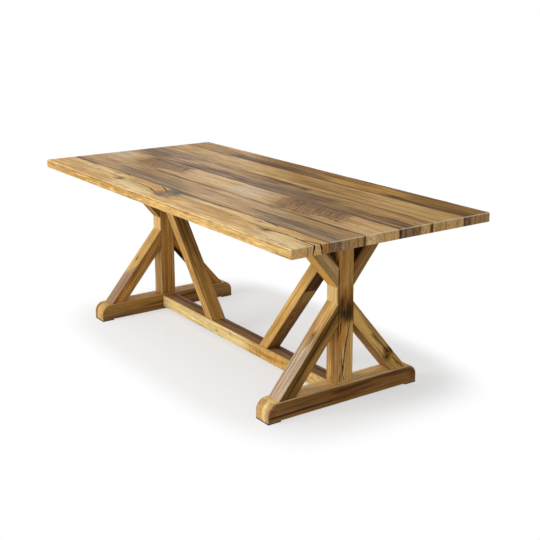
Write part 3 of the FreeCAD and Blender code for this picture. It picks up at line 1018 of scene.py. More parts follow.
# %% Plank tones and marks
plank_contrast = [0.8, 0.9, 0.75, 1.0, 1.0, 1.0]
plank_tones = [
    ("e4c48b", "d3ac70", "b88b52"),
    ("c4a274", "a7855b", "836546"),
    ("d2b084", "bd9866", "a27c4c"),
    ("a78250", "86653d", "60462c"),
    ("c09858", "a87f42", "89632c"),
    ("b4863c", "9a6e2a", "6e4816"),
]
plank_marks = [
    [  # pale, with the large knots and long cracks
        band("+z", "36373b", 0.90, -0.3185, 0.0075, -0.05, 0.20, fade=0.08),
        band("+z", "4a4846", 0.85, -0.3180, 0.0055, 0.12, 0.42, fade=0.08),
        band("+z", "6a6258", 0.70, -0.3180, 0.005, -0.26, 0.02, fade=0.08),
        band("+z", "58554f", 0.84, -0.326, 0.011, -0.06, 0.15, fade=0.05),
        band("+z", "be8a4c", 0.70, -0.372, 0.036, -0.17, 0.16, fade=0.05),
        band("+z", "866848", 0.85, -0.385, 0.040, -0.045, 0.070, lean=-0.5, fade=0.024),
        band("+z", "565350", 0.92, -0.346, 0.034, -0.030, 0.072, lean=-0.6, fade=0.020),
        band("+z", "6a5c4e", 0.80, -0.408, 0.020, -0.034, 0.036, lean=-0.4, fade=0.018),
        band("+z", "bd9058", 0.75, -0.342, 0.026, 0.79, 1.10, fade=0.05),
        band("+z", "8a6c49", 0.65, -0.336, 0.008, 0.62, 0.69, fade=0.03),
        band("+z", "8c6f4e", 0.70, -0.374, 0.006, 0.64, 0.79, fade=0.03),
        band("+z", "8a7052", 0.70, -0.392, 0.010, 0.745, 0.800, lean=0.8, fade=0.02),
        band("+z", "b98d58", 0.45, -0.385, 0.012, 0.12, 0.50, fade=0.08),
        band("+z", "e2cc9c", 0.60, -0.438, 0.035, 0.80, 1.10, fade=0.08),
        band("+z", "9a7a50", 0.50, -0.470, 0.003, 0.53, 0.66, fade=0.04),
        flecks("+z", "b28a58", 0.35, -0.4, 1.3, 0.080, 0.018, 0.54),
        knot("+z", 0.778, -0.386, 0.013, 1.3, "49372a", "8e6e46"),
        knot("+z", 0.655, -0.335, 0.007, 1.6, "6b5038", "ae8454"),
        knot("+z", 0.510, -0.372, 0.005, 1.8, "7d5d3c", "b48a5a"),
        knot("+z", 0.034, -0.342, 0.023, 1.3, "3e3b36", "675c4e"),
    ],
    [  # grey-brown streaks
        band("+z", "907b5e", 0.85, -0.270, 0.030, 0.56, 1.12, slope=0.02, fade=0.08),
        band("+z", "93795c", 0.80, -0.302, 0.012, 0.60, 0.98, fade=0.08),
        band("+z", "6c5842", 0.70, -0.262, 0.010, 0.60, 1.12, slope=-0.01, fade=0.08),
        band("+z", "ab8554", 0.70, -0.195, 0.036, 0.68, 1.14, fade=0.08),
        band("+z", "6d563e", 0.75, -0.237, 0.007, 0.50, 1.02, fade=0.08),
        band("+z", "604a32", 0.90, -0.157, 0.008, 0.66, 0.96, fade=0.05),
        band("+z", "c4a273", 0.75, -0.219, 0.008, 0.43, 0.66, fade=0.05),
        band("+z", "84674a", 0.65, -0.192, 0.005, 0.20, 0.31, fade=0.04),
        band("+z", "b99268", 0.50, -0.285, 0.016, 0.15, 0.52, fade=0.08),
        band("+z", "5f4c3a", 0.55, -0.252, 0.006, 0.62, 0.86, fade=0.05),
        end_band("c0965e", 0.75, -0.19, 0.04),
        end_band("6f5a46", 0.80, -0.297, 0.012),
        end_band("6c5244", 0.80, -0.270, 0.012),
        end_band("7c5f42", 0.60, -0.225, 0.003),
        end_band("6b4f38", 0.60, -0.183, 0.003),
        end_band("543c2b", 0.75, -0.156, 0.004),
    ],
    [  # pale, with the burnt and saw-marked patch
        band("+z", "b08c5c", 0.70, -0.075, 0.050, 0.345, 0.50, lean=-0.5, fade=0.05),
        band("+z", "916b42", 0.93, -0.040, 0.064, 0.395, 0.820, lean=-0.45, fade=0.034, sawn=1.0),
        band("+z", "967248", 0.85, -0.112, 0.030, 0.42, 0.68, lean=-0.8, fade=0.05, sawn=0.8),
        band("+z", "6f5638", 0.55, -0.020, 0.018, 0.42, 0.78, fade=0.06, sawn=1.0),
        band("+z", "d6b078", 0.50, -0.075, 0.060, 0.90, 1.20, fade=0.06),
        band("+z", "c6b094", 0.60, -0.078, 0.064, 0.06, 0.31, fade=0.06),
        knot("+z", 0.456, -0.013, 0.012, 1.3, "4c3a28", "7c5e40"),
        knot("+z", 0.925, -0.075, 0.004, 2.0, "7a5a3a", "b18c5c"),
        knot("+z", 0.940, -0.130, 0.003, 2.0, "7a5a3a", "b18c5c"),
        knot("+z", 1.120, -0.085, 0.004, 2.0, "7a5a3a", "b18c5c"),
        end_band("dfb678", 0.65, -0.07, 0.08),
        end_band("f4d09c", 0.60, -0.122, 0.018),
        knot("ends", 0.759, -0.125, 0.0024, 1.0, "3f2c1e", "8d6c44"),
        end_band("9d7a4c", 0.50, -0.060, 0.003),
        end_band("9d7a4c", 0.45, -0.015, 0.003),
    ],
    [  # dark
        band("+z", "5b452e", 0.90, 0.163, 0.010, -0.01, 0.27, slope=-0.03, fade=0.06),
        knot("+z", 0.288, 0.148, 0.011, 1.6, "3d2a18", "6a4c2e"),
        band("+z", "78604e", 0.80, 0.074, 0.020, 0.02, 0.40, slope=-0.01, fade=0.12),
        band("+z", "8a7660", 0.60, 0.032, 0.014, 0.00, 0.34, fade=0.08),
        band("+z", "6c4f33", 0.75, 0.108, 0.024, 0.46, 0.58, lean=0.8, fade=0.04),
        band("+z", "5a4032", 0.90, 0.052, 0.005, 0.72, 1.16, slope=0.008, fade=0.06),
        band("+z", "684b3a", 0.75, 0.082, 0.006, 0.68, 1.10, fade=0.05),
        band("+z", "b88d50", 0.80, 0.124, 0.026, 0.62, 1.14, fade=0.10),
        band("+z", "644a30", 0.65, 0.020, 0.008, 0.50, 1.20, fade=0.1),
        end_band("e0b67c", 0.80, 0.138, 0.027),
        end_band("443228", 0.90, 0.015, 0.005),
        end_band("94745e", 0.80, 0.050, 0.030),
        end_band("54402f", 0.70, 0.040, 0.004),
        end_band("54402f", 0.60, 0.078, 0.006),
        end_band("2c2018", 0.90, 0.166, 0.0025),
    ],
    [  # honey
        band("+z", "bb9760", 0.60, 0.316, 0.010, 0.05, 1.10, fade=0.10),
        band("+z", "c8a262", 0.40, 0.260, 0.080, 0.60, 1.20, fade=0.20),
        band("+z", "85612e", 0.60, 0.264, 0.005, 0.45, 0.76, fade=0.06),
        band("+z", "bb9660", 0.60, 0.240, 0.010, 0.40, 0.98, fade=0.10),
        band("+z", "b9945c", 0.55, 0.198, 0.010, 0.58, 1.16, fade=0.10),
        end_band("dcb078", 0.70, 0.26, 0.09),
        end_band("ecc48a", 0.60, 0.322, 0.013),
        end_band("7a5532", 0.75, 0.2115, 0.002),
        end_band("8f6c42", 0.55, 0.240, 0.004),
    ],
    [  # brown, with a long dark streak by the seam
        band("+z", "7a5214", 0.75, 0.425, 0.050, 0.66, 1.16, fade=0.10),
        band("+z", "4c2f0a", 0.94, 0.352, 0.013, 0.57, 1.16, slope=0.010, fade=0.05),
        band("+z", "3c2813", 0.80, 0.360, 0.012, 0.60, 0.68, fade=0.03),
        band("+z", "563a12", 0.65, 0.382, 0.016, 0.74, 1.22, fade=0.12),
        band("+z", "69481f", 0.80, 0.362, 0.020, -0.10, 0.17, fade=0.05),
        band("+z", "7c5628", 0.60, 0.430, 0.034, -0.10, 0.15, fade=0.05),
        band("+z", "6b4c28", 0.70, 0.3425, 0.004, 0.22, 0.60, fade=0.05),
        end_band("ad8c66", 0.75, 0.42, 0.08),
        end_band("665040", 0.88, 0.344, 0.009),
        end_band("604530", 0.75, 0.362, 0.010),
        end_band("765644", 0.60, 0.394, 0.004),
        end_band("8a6240", 0.50, 0.421, 0.003),
        end_band("8a6240", 0.50, 0.446, 0.003),
    ],
]
top_z = cad_box[1].z
# A painted highlight: the top 3 mm of each plank's ends is pale, where the rounded edge would catch the
# light.
end_edge_highlight = band("ends", "f2e0c0", 0.45, 0.0, 2.0, top_z - 0.0032, top_z + 0.025, fade=0.0006, depth=0.004)
front_edge_marks = [
    band("-y", "ddb168", 0.75, 0.756, 0.030, -1.1, 1.1),
    band("-y", "bb8d48", 0.75, 0.756, 0.030, -1.1, -0.10, fade=0.25),
    flecks("-y", "f0d296", 0.60, -1.1, 1.1, 0.055, 0.0060, 0.52),
    flecks("-y", "96642c", 0.60, -1.1, 1.1, 0.040, 0.0042, 0.55),
    band("-y", "874f22", 0.75, 0.7685, 0.0014, -1.03, 1.05, fade=0.02),
]
front_end_marks = [
    end_band("e0b06c", 0.60, -0.40, 0.08),
    end_band("b07034", 0.80, -0.3275, 0.0125),
    end_band("70431f", 0.80, -0.3365, 0.0018),
    end_band("70431f", 0.70, -0.3255, 0.0018),
    end_band("8f6a44", 0.60, -0.405, 0.003),
    end_band("96734b", 0.50, -0.392, 0.002),
]
print("marks on the planks:", [len(marks) for marks in plank_marks])

# %% Planks
outer_radius = 0.003
seam_radius = 0.0009
hollow_spread, hollow_sink = 1.4, 0.0006
planks = []
top_nodes = [f"top_board_{i}" for i in range(1, 7)]
for number, node in enumerate(top_nodes):
    low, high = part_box(node)
    first, last = number == 0, number == len(top_nodes) - 1
    # Sides 0 and 2 of the outline run lengthwise, and 1 and 3 are the ends.
    eased = {0: outer_radius if first else seam_radius, 1: outer_radius,
             2: outer_radius if last else seam_radius, 3: outer_radius}
    corners = {0: outer_radius, 1: outer_radius} if first else {}
    if last:
        corners = {2: outer_radius, 3: outer_radius}
    extra = [end_edge_highlight]
    if not first:
        extra.append(seam(low.y, number))
    if not last:
        extra.append(seam(high.y, number + 1))
    if first:
        extra += front_edge_marks + front_end_marks
    hollows = [(mark["Along"] - shift, mark["Across"], hollow_spread * mark["Radius"], hollow_sink)
               for mark in plank_marks[number] if mark["stamp"] == "knot" for shift in (0.0, log_length)]
    in_seams = [y for y, outer in ((low.y, first), (high.y, last)) if not outer]
    # The pale edge tone (arris) is partly wear and partly a painted highlight.
    plank = timber(node, "top_light" if number % 2 == 0 else "top_dark", Matrix.Identity(4),
                   rectangle(low.x, high.x, low.y, high.y), low.z, high.z, eased, plank_tones[number],
                   (3.1 * number, 1.7 * number, 0.4), past_the_join(plank_marks[number]) + extra,
                   corners, hollows, seam_rows=in_seams, edge_wear_and_light_above=(low.z + high.z) / 2,
                   thick_figure=0.3, roughness=0.30, shine=0.006, arris="f0dcb4", arris_share=0.4,
                   contrast=plank_contrast[number], repeat=log_length)
    planks.append(plank)
print("planks:", [plank.name for plank in planks])

# %% [markdown]
# ## Cracks in the front plank
#
# The front plank has dried the most. A long crack wanders along it and out past its right end, with
# a shorter one beside it, and both run down the end grain. A third one runs past two knots. Three
# more lie in the left half. They could be left out there, but the figure comes back after one log
# length, and without them the repeated knots would look printed on.

# %% Cracks in the front plank
end_x = cad_box[1].x


def on_top(along, across, height):
    return Vector((along, across, top_z + height))


def on_end(along, across, height):
    """The end face of the top, with along counted downwards."""
    return Vector((end_x + height, across, top_z - along))


# The surface, half width, depth and path of each crack.
front_cracks = [
    (on_top, 0.0036, 0.014, [(0.700, -0.381), (0.761, -0.386), (0.796, -0.381), (0.829, -0.375),
                             (0.903, -0.370), (0.968, -0.374), (1.015, -0.378), (1.062, -0.379),
                             (1.110, -0.380)]),
    (on_top, 0.0034, 0.014, [(0.960, -0.371), (0.990, -0.366), (1.020, -0.358), (1.062, -0.348),
                             (1.110, -0.346)]),
    (on_top, 0.0026, 0.010, [(0.640, -0.312), (0.685, -0.317), (0.739, -0.321), (0.782, -0.332)]),
    (on_end, 0.0034, 0.014, [(-0.004, -0.377), (0.010, -0.378), (0.026, -0.3805), (0.046, -0.3810)]),
    (on_end, 0.0038, 0.014, [(-0.004, -0.3485), (0.010, -0.3465), (0.026, -0.3420), (0.046, -0.3375)]),
    (on_top, 0.0032, 0.012, [(-0.350, -0.375), (-0.275, -0.373), (-0.190, -0.374), (-0.120, -0.384),
                             (-0.060, -0.398), (-0.012, -0.413)]),
    (on_top, 0.0032, 0.012, [(-0.130, -0.322), (-0.085, -0.334), (-0.045, -0.348), (-0.006, -0.366)]),
    (on_top, 0.0024, 0.010, [(-0.545, -0.312), (-0.500, -0.317), (-0.446, -0.321), (-0.403, -0.332)]),
]
front = planks[0]
for seed, one_crack in enumerate(front_cracks, 1):
    crack(front, seed, *one_crack)
print("front plank has", len(front.data.polygons), "faces")

# %% [markdown]
# ## Feet
#
# Each trestle stands on a sled foot, a squared beam with both upper ends rounded off to a quarter
# circle of 45 mm. A wide bevel could make the rounds, but here the outline is drawn with an arc at
# each end, so the small bevel of the eased edges can run along it. The outer face has a dark stain
# with black lines of growth in it. The marks of the ends reach as deep as the round goes.

# %% Feet
foot_round = 0.045
foot_radius = 0.003
arc_steps = 10
sides = {"left": -1, "right": 1}


def sled_outline(low, high, base, top):
    """A foot's side: along its length and up, with rounded upper ends."""
    points = [(low, base), (high, base)]
    height = top - foot_round
    for centre, first_angle in ((high - foot_round, 0), (low + foot_round, 90)):
        for step in range(arc_steps + 1):
            angle = math.radians(first_angle + 90 * step / arc_steps)
            points.append((centre + foot_round * math.cos(angle), height + foot_round * math.sin(angle)))
    return points


def through_the_round(marks):
    """The marks, made deep enough to follow the rounded end away from its flat face."""
    return [{**mark, "Depth": foot_round + foot_radius} for mark in marks]


foot_tones = ("e6bb76", "cf9f5c", "a5763e")
walnut_stain = stain("+z", "a48b6a", 1.0)
golden_top = band("+y", "ffdc94", 0.78, 0.0, 0.06, -0.5, 0.5)
near_ends = through_the_round([
    band("ends", "d8ac68", 0.85, 0.04, 0.06, -0.1, 0.1),
    flecks("ends", "a87838", 0.40, -0.06, 0.06, 0.012, 0.016, 0.52),
    # Painted highlight: a pale upright strip on the ends, just outward of their middle, for the gloss that
    # they catch.
    band("ends", "fbe0a2", 0.80, 0.04, 0.06, -0.001, 0.021, fade=0.006),
    band("ends", "b88a5c", 0.45, 0.066, 0.009, -0.034, -0.004, fade=0.008),
    band("ends", "8a5a28", 0.55, 0.04, 0.06, -0.06, -0.038, fade=0.003),
    band("ends", "94622c", 0.60, 0.03, 0.03, 0.034, 0.06, fade=0.003),
])
far_ends = through_the_round([
    band("ends", "c2944e", 0.85, 0.04, 0.06, -0.1, 0.1),
    band("ends", "86602c", 0.70, 0.04, 0.06, -0.06, -0.020, fade=0.006),
    band("ends", "e8c688", 0.70, 0.04, 0.06, -0.014, 0.002, fade=0.005),
    flecks("ends", "f0d08c", 0.60, 0.0, 0.06, 0.012, 0.014, 0.50),
])
foot_marks = {
    "left": [*far_ends, band("+z", "f8dca4", 0.80, 0.04, 0.05, -0.5, 0.5), walnut_stain,
             band("+y", "d8a858", 0.70, 0.0, 0.06, -0.5, 0.5),
             band("+z", "b0843e", 0.60, 0.064, 0.014, -0.40, 0.06, fade=0.06),
             band("+z", "6c4526", 0.60, 0.014, 0.013, -0.40, 0.40, fade=0.05),
             band("+z", "4a3525", 0.70, 0.040, 0.006, -0.14, 0.20, slope=0.06, fade=0.05)],
    "right": [*near_ends, walnut_stain, golden_top,
              band("+z", "86662f", 0.50, 0.060, 0.020, -0.37, -0.10, fade=0.08),
              band("+z", "94702f", 0.80, 0.011, 0.008, -0.40, 0.40, fade=0.05),
              band("+z", "2c1d13", 0.90, 0.0255, 0.0035, -0.37, -0.06, fade=0.04),
              band("+z", "35241a", 0.75, 0.0265, 0.004, -0.02, 0.16, slope=0.09, fade=0.04),
              band("+z", "8a5f44", 0.70, 0.037, 0.004, -0.37, -0.10, slope=-0.02, fade=0.05),
              band("+z", "8c6248", 0.70, 0.030, 0.003, 0.02, 0.22, slope=0.06, fade=0.04),
              band("+z", "3b281a", 0.80, 0.056, 0.007, -0.06, 0.12, slope=0.03, fade=0.05),
              band("+z", "46301e", 0.70, 0.068, 0.006, 0.14, 0.36, slope=-0.02, fade=0.06),
              band("+z", "604430", 0.60, 0.048, 0.006, -0.34, -0.16, fade=0.06)],
}
for side, sign in sides.items():
    node = side + "_foot"
    low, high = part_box(node)
    matrix = grain_frame(((low.x + high.x) / 2, 0, 0), (0, 1, 0), (1, 0, 0))
    outline = sled_outline(low.y, high.y, low.z, high.z)
    eased = {i: foot_radius for i in range(1, len(outline))}
    half = (high.x - low.x) / 2
    # The pale edge tone (arris) of the feet is partly wear and partly a painted highlight.
    timber(node, "foot_wood", matrix, outline, -half, half, eased, foot_tones, (7.3 * sign, 2.2, 5.0),
           foot_marks[side], arris="d8bca4", arris_share=0.45 if sign > 0 else 0.15, shine=0.08)
print("feet: rounds of", 1000 * foot_round, "mm")

# %% [markdown]
# ## Posts
#
# A post is a squared timber that stands on the foot and carries the bearer. Its four long edges
# are eased. Its tenons are hidden in the foot and the bearer, so the mesh ends at their shoulders.
# The near post has the history of a reused beam: a scorched stretch halfway up its outer face, and
# a long crack that opens below it and forks near the foot. One soft dark spot would pass for a
# shadow, so the scorch is built up from bands of several browns that lean against each other.

# %% Posts
frame_radius = 0.0025
# Sides 0 and 2 of a four-cornered outline run along the grain.
frame_eased = {0: frame_radius, 2: frame_radius}
frame_tones = ("e8c27e", "cf9e59", "a2753d")
post_marks = {
    "left": [stain("+z", "deccaa", 0.9),
             band("+z", "8e6535", 0.45, 0.012, 0.010, 0.08, 0.70, fade=0.05),
             band("+z", "8a6232", 0.40, -0.018, 0.004, 0.08, 0.70, fade=0.05),
             band("+y", "ecc688", 0.8, 0.0, 0.05, 0.0, 0.80)],
    "right": [band("+z", "c6924e", 0.80, 0.0, 0.07, 0.42, 0.74, fade=0.03),
              band("+z", "a0642c", 0.50, 0.014, 0.008, 0.44, 0.74, fade=0.06),
              band("+z", "b99a58", 0.50, -0.018, 0.012, 0.52, 0.70, fade=0.08),
              flecks("+z", "6a4522", 0.40, 0.08, 0.74, 0.030, 0.0025, 0.56),
              band("+z", "a8642a", 0.60, 0.010, 0.012, 0.43, 0.48, fade=0.016),
              band("+z", "8a5a28", 0.70, 0.0, 0.07, 0.400, 0.480, lean=-0.30, fade=0.035),
              band("+z", "66431f", 0.80, 0.0, 0.07, 0.320, 0.438, lean=-0.30, fade=0.020),
              band("+z", "4a3620", 0.76, -0.004, 0.034, 0.336, 0.404, lean=-0.35, fade=0.016),
              band("+z", "33271d", 0.80, 0.006, 0.030, 0.350, 0.388, lean=0.3, fade=0.012),
              band("+z", "2a1d10", 0.85, -0.016, 0.009, 0.366, 0.424, slope=0.10, fade=0.016),
              band("+z", "2a1d10", 0.80, 0.020, 0.006, 0.390, 0.446, slope=-0.06, fade=0.020),
              # Painted shade: a dark line down the post's front outer edge, 0.28 to 0.56 m above the floor.
              band("+z", "20170f", 0.85, 0.0355, 0.003, 0.28, 0.56, fade=0.02),
              band("+z", "d08634", 0.80, 0.022, 0.016, 0.235, 0.345, fade=0.03),
              band("+z", "2c1d10", 0.85, 0.030, 0.0024, 0.290, 0.344, slope=-0.14, fade=0.006),
              band("+z", "38260f", 0.75, 0.024, 0.0020, 0.300, 0.336, slope=0.10, fade=0.006),
              band("+z", "7a5228", 0.70, 0.029, 0.003, 0.085, 0.125, slope=-0.12, fade=0.012),
              band("+z", "dfb46c", 0.60, -0.024, 0.014, 0.08, 0.33, fade=0.05),
              band("+z", "8a6030", 0.60, 0.018, 0.003, 0.08, 0.20, fade=0.05),
              band("+y", "ecc88a", 0.75, 0.0, 0.05, 0.41, 0.50, fade=0.012),
              # Painted shadow: the head of the front face is dark where the braces and the top shade it,
              # save a strip by the outer edge.
              band("+y", "2b1a0f", 0.88, -0.010, 0.028, 0.60, 0.80, fade=0.03),
              # Painted shade: the same dark line on the front face, 0.27 to 0.60 m above the floor.
              band("+y", "1c130c", 0.85, 0.034, 0.005, 0.27, 0.60, fade=0.02),
              band("+y", "9c7038", 0.70, -0.031, 0.003, 0.08, 0.36, fade=0.04),
              band("+y", "a87b42", 0.50, 0.010, 0.008, 0.08, 0.36, fade=0.06),
              knot("+y", 0.098, -0.006, 0.004, 1.2, "6a4a2c", "a8804c")],
}
posts = {}
for side, sign in sides.items():
    node = side + "_post"
    low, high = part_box(side + "_foot")[1].z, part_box(side + "_bearer")[0].z
    box_low, box_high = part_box(node)
    post_half = (box_high.x - box_low.x) / 2
    matrix = grain_frame(((box_low.x + box_high.x) / 2, 0, 0), (0, 0, 1), (1, 0, 0))
    posts[side] = timber(node, "frame_wood", matrix, rectangle(low, high, -post_half, post_half),
                         -post_half, post_half, frame_eased, frame_tones, (1.9 * sign, 8.8, 2.0),
                         post_marks[side], contrast=0.7)
print("posts:", 2000 * post_half, "mm square,", round(1000 * (high - low)), "mm between foot and bearer")


# %% Cracks in the near post
def on_outer_face(along, across, height):
    """The outer face of a post, or of a brace of the trestle, which is as wide as the post."""
    return Vector((along, across, post_half + height))


# The half width, depth and path of each crack.
post_cracks = [
    (0.0030, 0.012, [(0.330, -0.019), (0.292, -0.0125), (0.265, -0.005), (0.230, 0.002), (0.190, 0.007),
                     (0.140, 0.0125), (0.105, 0.0105), (0.079, 0.009)]),
    (0.0020, 0.008, [(0.195, 0.020), (0.172, 0.0185), (0.155, 0.0155), (0.138, 0.0125)]),
    (0.0018, 0.008, [(0.125, 0.026), (0.108, 0.029), (0.092, 0.0335)]),
]
for seed, (half_width, depth, path) in enumerate(post_cracks, 11):
    crack(posts["right"], seed, on_outer_face, half_width, depth, path)
print("near post has", len(posts["right"].data.polygons), "faces")

# %% [markdown]
# ## Diagonal braces
#
# A brace is a straight timber whose ends are cut to lie flat on what they meet: one on the
# upright post, the other on the level foot or bearer. Two things are enough to draw it: the box
# that it fills in the frame, whose diagonal is the brace's outer edge, and its depth. The inner
# edge is that diagonal moved inward by the depth. A longer timber could be cut to length with
# Booleans, but four corners are all it takes. Each brace has its own axes, with X up along the
# slope, so the grain follows it.

# %% Brace helper
def brace_outline(first_end, last_end, inward, depth, level_first):
    """The direction and the four corners of a brace, in the plane that it lies in.

    first_end and last_end are the lower and the upper end of its outer edge, and inward points to
    its inner edge. One of its cuts is level and one upright: with level_first the lower one is level.
    """
    way = (last_end - first_end).normalized()
    level_run = depth / abs(way.z)
    upright_run = depth / math.hypot(way.x, way.y)
    flat = Vector((way.x, way.y, 0)).normalized() * level_run
    drop = Vector((0, 0, 1)) * upright_run
    if inward.z < 0:
        drop = -drop
    if inward.dot(flat) < 0:
        flat = -flat
    inner_first = first_end + (flat if level_first else drop)
    inner_last = last_end + (drop if level_first else flat)
    return way, [first_end, last_end, inner_last, inner_first]


def brace(node, corners, way, face, half_width, tones, seed, marks, **settings):
    """A brace from its four corners, with its two long sides eased."""
    matrix = grain_frame(corners[0], way, face)
    back = matrix.inverted()
    outline = [tuple((back @ corner).to_2d()) for corner in corners]
    # Sides 0 and 2 run along the grain, whichever way round the outline goes.
    return timber(node, "frame_wood", matrix, outline, -half_width, half_width, frame_eased,
                  tones, seed, marks, **settings)


print("a brace is one timber with a four-cornered outline")

# %% Trestle braces
trestle_depth = 0.060
brace_marks = {
    ("right", "lower", "front"): [
        stain("+z", "bca780", 0.95),
        band("+y", "d2bba2", 0.88, 0.0, 0.06, -0.02, 0.25, fade=0.05),
        band("+y", "7f6248", 0.60, 0.012, 0.003, 0.10, 0.27, fade=0.05),
        band("+y", "7c5e44", 0.50, -0.008, 0.0022, 0.05, 0.32, fade=0.05),
        band("+y", "7d5a3c", 0.55, -0.026, 0.003, 0.00, 0.40, fade=0.05),
        band("+y", "8e6a4c", 0.50, 0.024, 0.0025, 0.10, 0.30, fade=0.05),
        band("+y", "7f6248", 0.75, 0.004, 0.012, 0.245, 0.300, lean=0.5, fade=0.02),
        flecks("+y", "8a6a4c", 0.40, 0.0, 0.45, 0.050, 0.0035, 0.55),
        knot("+y", 0.290, 0.002, 0.006, 1.4, "6f5138", "a3794e"),
        band("+z", "644a20", 0.78, -0.012, 0.013, -0.1, 0.46, fade=0.05),
        band("+z", "3b2a19", 0.85, -0.028, 0.0045, -0.1, 0.46, slope=0.022, fade=0.05),
        band("+z", "b48c4c", 0.50, -0.046, 0.012, 0.06, 0.46, fade=0.08),
        band("+z", "6a4c28", 0.50, -0.030, 0.05, -0.1, 0.11, fade=0.06)],
    ("right", "lower", "rear"): [
        band("+z", "deac56", 0.60, 0.030, 0.028, 0.20, 0.46, fade=0.08),
        band("+z", "a07c40", 0.60, 0.008, 0.008, 0.16, 0.44, fade=0.06),
        band("+z", "c89a48", 0.70, 0.026, 0.026, -0.02, 0.11, fade=0.03),
        band("+z", "9a8048", 0.50, 0.016, 0.010, 0.20, 0.34, fade=0.05),
        band("+z", "665634", 0.78, 0.0185, 0.0055, 0.148, 0.262, slope=0.08, fade=0.016),
        band("+z", "966a2c", 0.70, 0.022, 0.018, 0.094, 0.158, fade=0.014),
        band("+z", "835722", 0.45, 0.034, 0.010, 0.100, 0.150, fade=0.010),
        band("+z", "432a12", 0.82, 0.0030, 0.0080, 0.112, 0.144, lean=-0.4, fade=0.008),
        band("+z", "2c1d0e", 0.85, 0.0230, 0.0028, 0.124, 0.160, fade=0.006),
        knot("+z", 0.119, 0.040, 0.0085, 1.2, "1c1209", "6b4519"),
        knot("+z", 0.136, 0.0215, 0.0050, 1.4, "2a1b0d", "6f4b1e"),
        knot("+z", 0.0886, 0.0212, 0.0025, 1.2, "4a3018", "9a7034"),
        band("+y", "b28a58", 0.75, 0.0, 0.05, 0.0, 0.44, fade=0.03),
        # Painted shade: the underside is near black towards the post.
        band("+y", "3a2412", 0.90, 0.0, 0.05, 0.36, 0.50, fade=0.06),
        band("-y", "b08660", 0.50, 0.0, 0.05, -0.02, 0.16, fade=0.04)],
    ("right", "upper", "rear"): [
        stain("+z", "ccae94", 0.9),
        band("+z", "b88e5c", 0.75, 0.012, 0.018, -0.05, 0.50, fade=0.03),
        band("+z", "5e4230", 0.60, 0.030, 0.0022, -0.05, 0.50, fade=0.03),
        # Painted shadow: the inner face, under the top and turned to the post, is near black.
        band("+y", "1e120a", 0.92, 0.0, 0.06, -0.10, 0.50)],
    ("left", "lower", "front"): [
        stain("+z", "dcc6a0", 0.9),
        band("+y", "e0b872", 0.80, 0.0, 0.06, 0.17, 0.50, lean=0.8, fade=0.012),
        band("+y", "a88a74", 0.85, 0.0, 0.06, -0.05, 0.20, lean=0.8, fade=0.014),
        band("+y", "84664e", 0.60, 0.010, 0.003, 0.02, 0.18, fade=0.03),
        band("+y", "b88a4a", 0.50, -0.012, 0.004, 0.20, 0.44, fade=0.05),
        band("+z", "5e4426", 0.60, -0.050, 0.014, 0.30, 0.46, fade=0.05),
        knot("+y", 0.262, -0.006, 0.005, 1.6, "5f452e", "96703f")],
    ("left", "lower", "rear"): [
        stain("+z", "d4ba92", 0.9),
        # Painted shade: the underside is dark brown, and near black towards the post.
        band("+y", "6a4524", 0.80, 0.0, 0.05, -0.05, 0.50),
        band("+y", "26170c", 0.92, 0.0, 0.05, 0.22, 0.55, fade=0.06)],
    ("left", "upper", "front"): [
        band("+y", "b0823e", 0.70, 0.0, 0.06, -0.10, 0.50),
        stain("+z", "9c8a62", 0.9)],
    ("right", "upper", "front"): [
        band("+y", "e2aa50", 0.80, 0.0, 0.06, -0.10, 0.50, fade=0.02),
        band("+z", "4c3a28", 0.85, -0.055, 0.005, -0.05, 0.45, fade=0.05),
        band("+z", "c2a470", 0.65, -0.020, 0.020, -0.05, 0.45, fade=0.05)],
}
lower_tones = ("e4bc7a", "c69857", "956a38")
upper_tones = ("cda86c", "ad8752", "7c5c34")
trestle_braces = {}
for side, sign in sides.items():
    x_low, x_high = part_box(side + "_post")[0].x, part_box(side + "_post")[1].x
    x_middle, half_width = (x_low + x_high) / 2, (x_high - x_low) / 2
    for end, end_sign in (("front", -1), ("rear", 1)):
        for level in ("lower", "upper"):
            node = f"{side}_{level}_{end}_brace"
            low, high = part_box(node)
            far, near = (low.y, high.y) if end_sign < 0 else (high.y, low.y)
            # Going up, a lower brace leans in to the post, and an upper one leans out from it.
            leans_in = level == "lower"
            first_y, last_y = (far, near) if leans_in else (near, far)
            outer_first, outer_last = Vector((x_middle, first_y, low.z)), Vector((x_middle, last_y, high.z))
            inward = Vector((0, -end_sign, -1 if leans_in else 1))
            way, corners = brace_outline(outer_first, outer_last, inward, trestle_depth, leans_in)
            seed = (2.3 * sign + len(trestle_braces), 4.4 * end_sign, 9.1)
            shine = 0.0 if (level, end) == ("lower", "rear") else 0.01
            trestle_braces[(side, level, end)] = brace(
                node, corners, way, (1, 0, 0), half_width, lower_tones if leans_in else upper_tones,
                seed, brace_marks.get((side, level, end), []), shine=shine)
print("trestle braces:", len(trestle_braces))

# %% [markdown]
# ## A split knot
#
# The lower rear brace of the right trestle has a cluster of knots, and the wood round them has
# split as it dried: two cracks cross over to the outer edge, and three follow the grain. Dark
# bands could hint at them, but only a real cut breaks the edge that it crosses.

# %% Cracks round a knot in the right trestle
# The seed, half width, depth and path of each crack.
knot_cracks = [
    (21, 0.0019, 0.010, [(0.122, 0.045), (0.1175, 0.036), (0.1140, 0.018), (0.1095, -0.003)]),
    (22, 0.0017, 0.010, [(0.1300, 0.029), (0.1240, 0.013), (0.1180, -0.003)]),
    (25, 0.0017, 0.010, [(0.156, 0.014), (0.143, 0.0175), (0.132, 0.024)]),
    (23, 0.0024, 0.010, [(0.084, 0.0175), (0.0757, 0.0189), (0.052, 0.0215), (0.026, 0.0250)]),
    (24, 0.0021, 0.010, [(0.068, 0.0150), (0.050, 0.0140), (0.035, 0.0130), (0.012, 0.0122)]),
]
knotted = trestle_braces[("right", "lower", "rear")]
for seed, crack_half, depth, path in knot_cracks:
    crack(knotted, seed, on_outer_face, crack_half, depth, path)
print("knotted brace has", len(knotted.data.polygons), "faces")
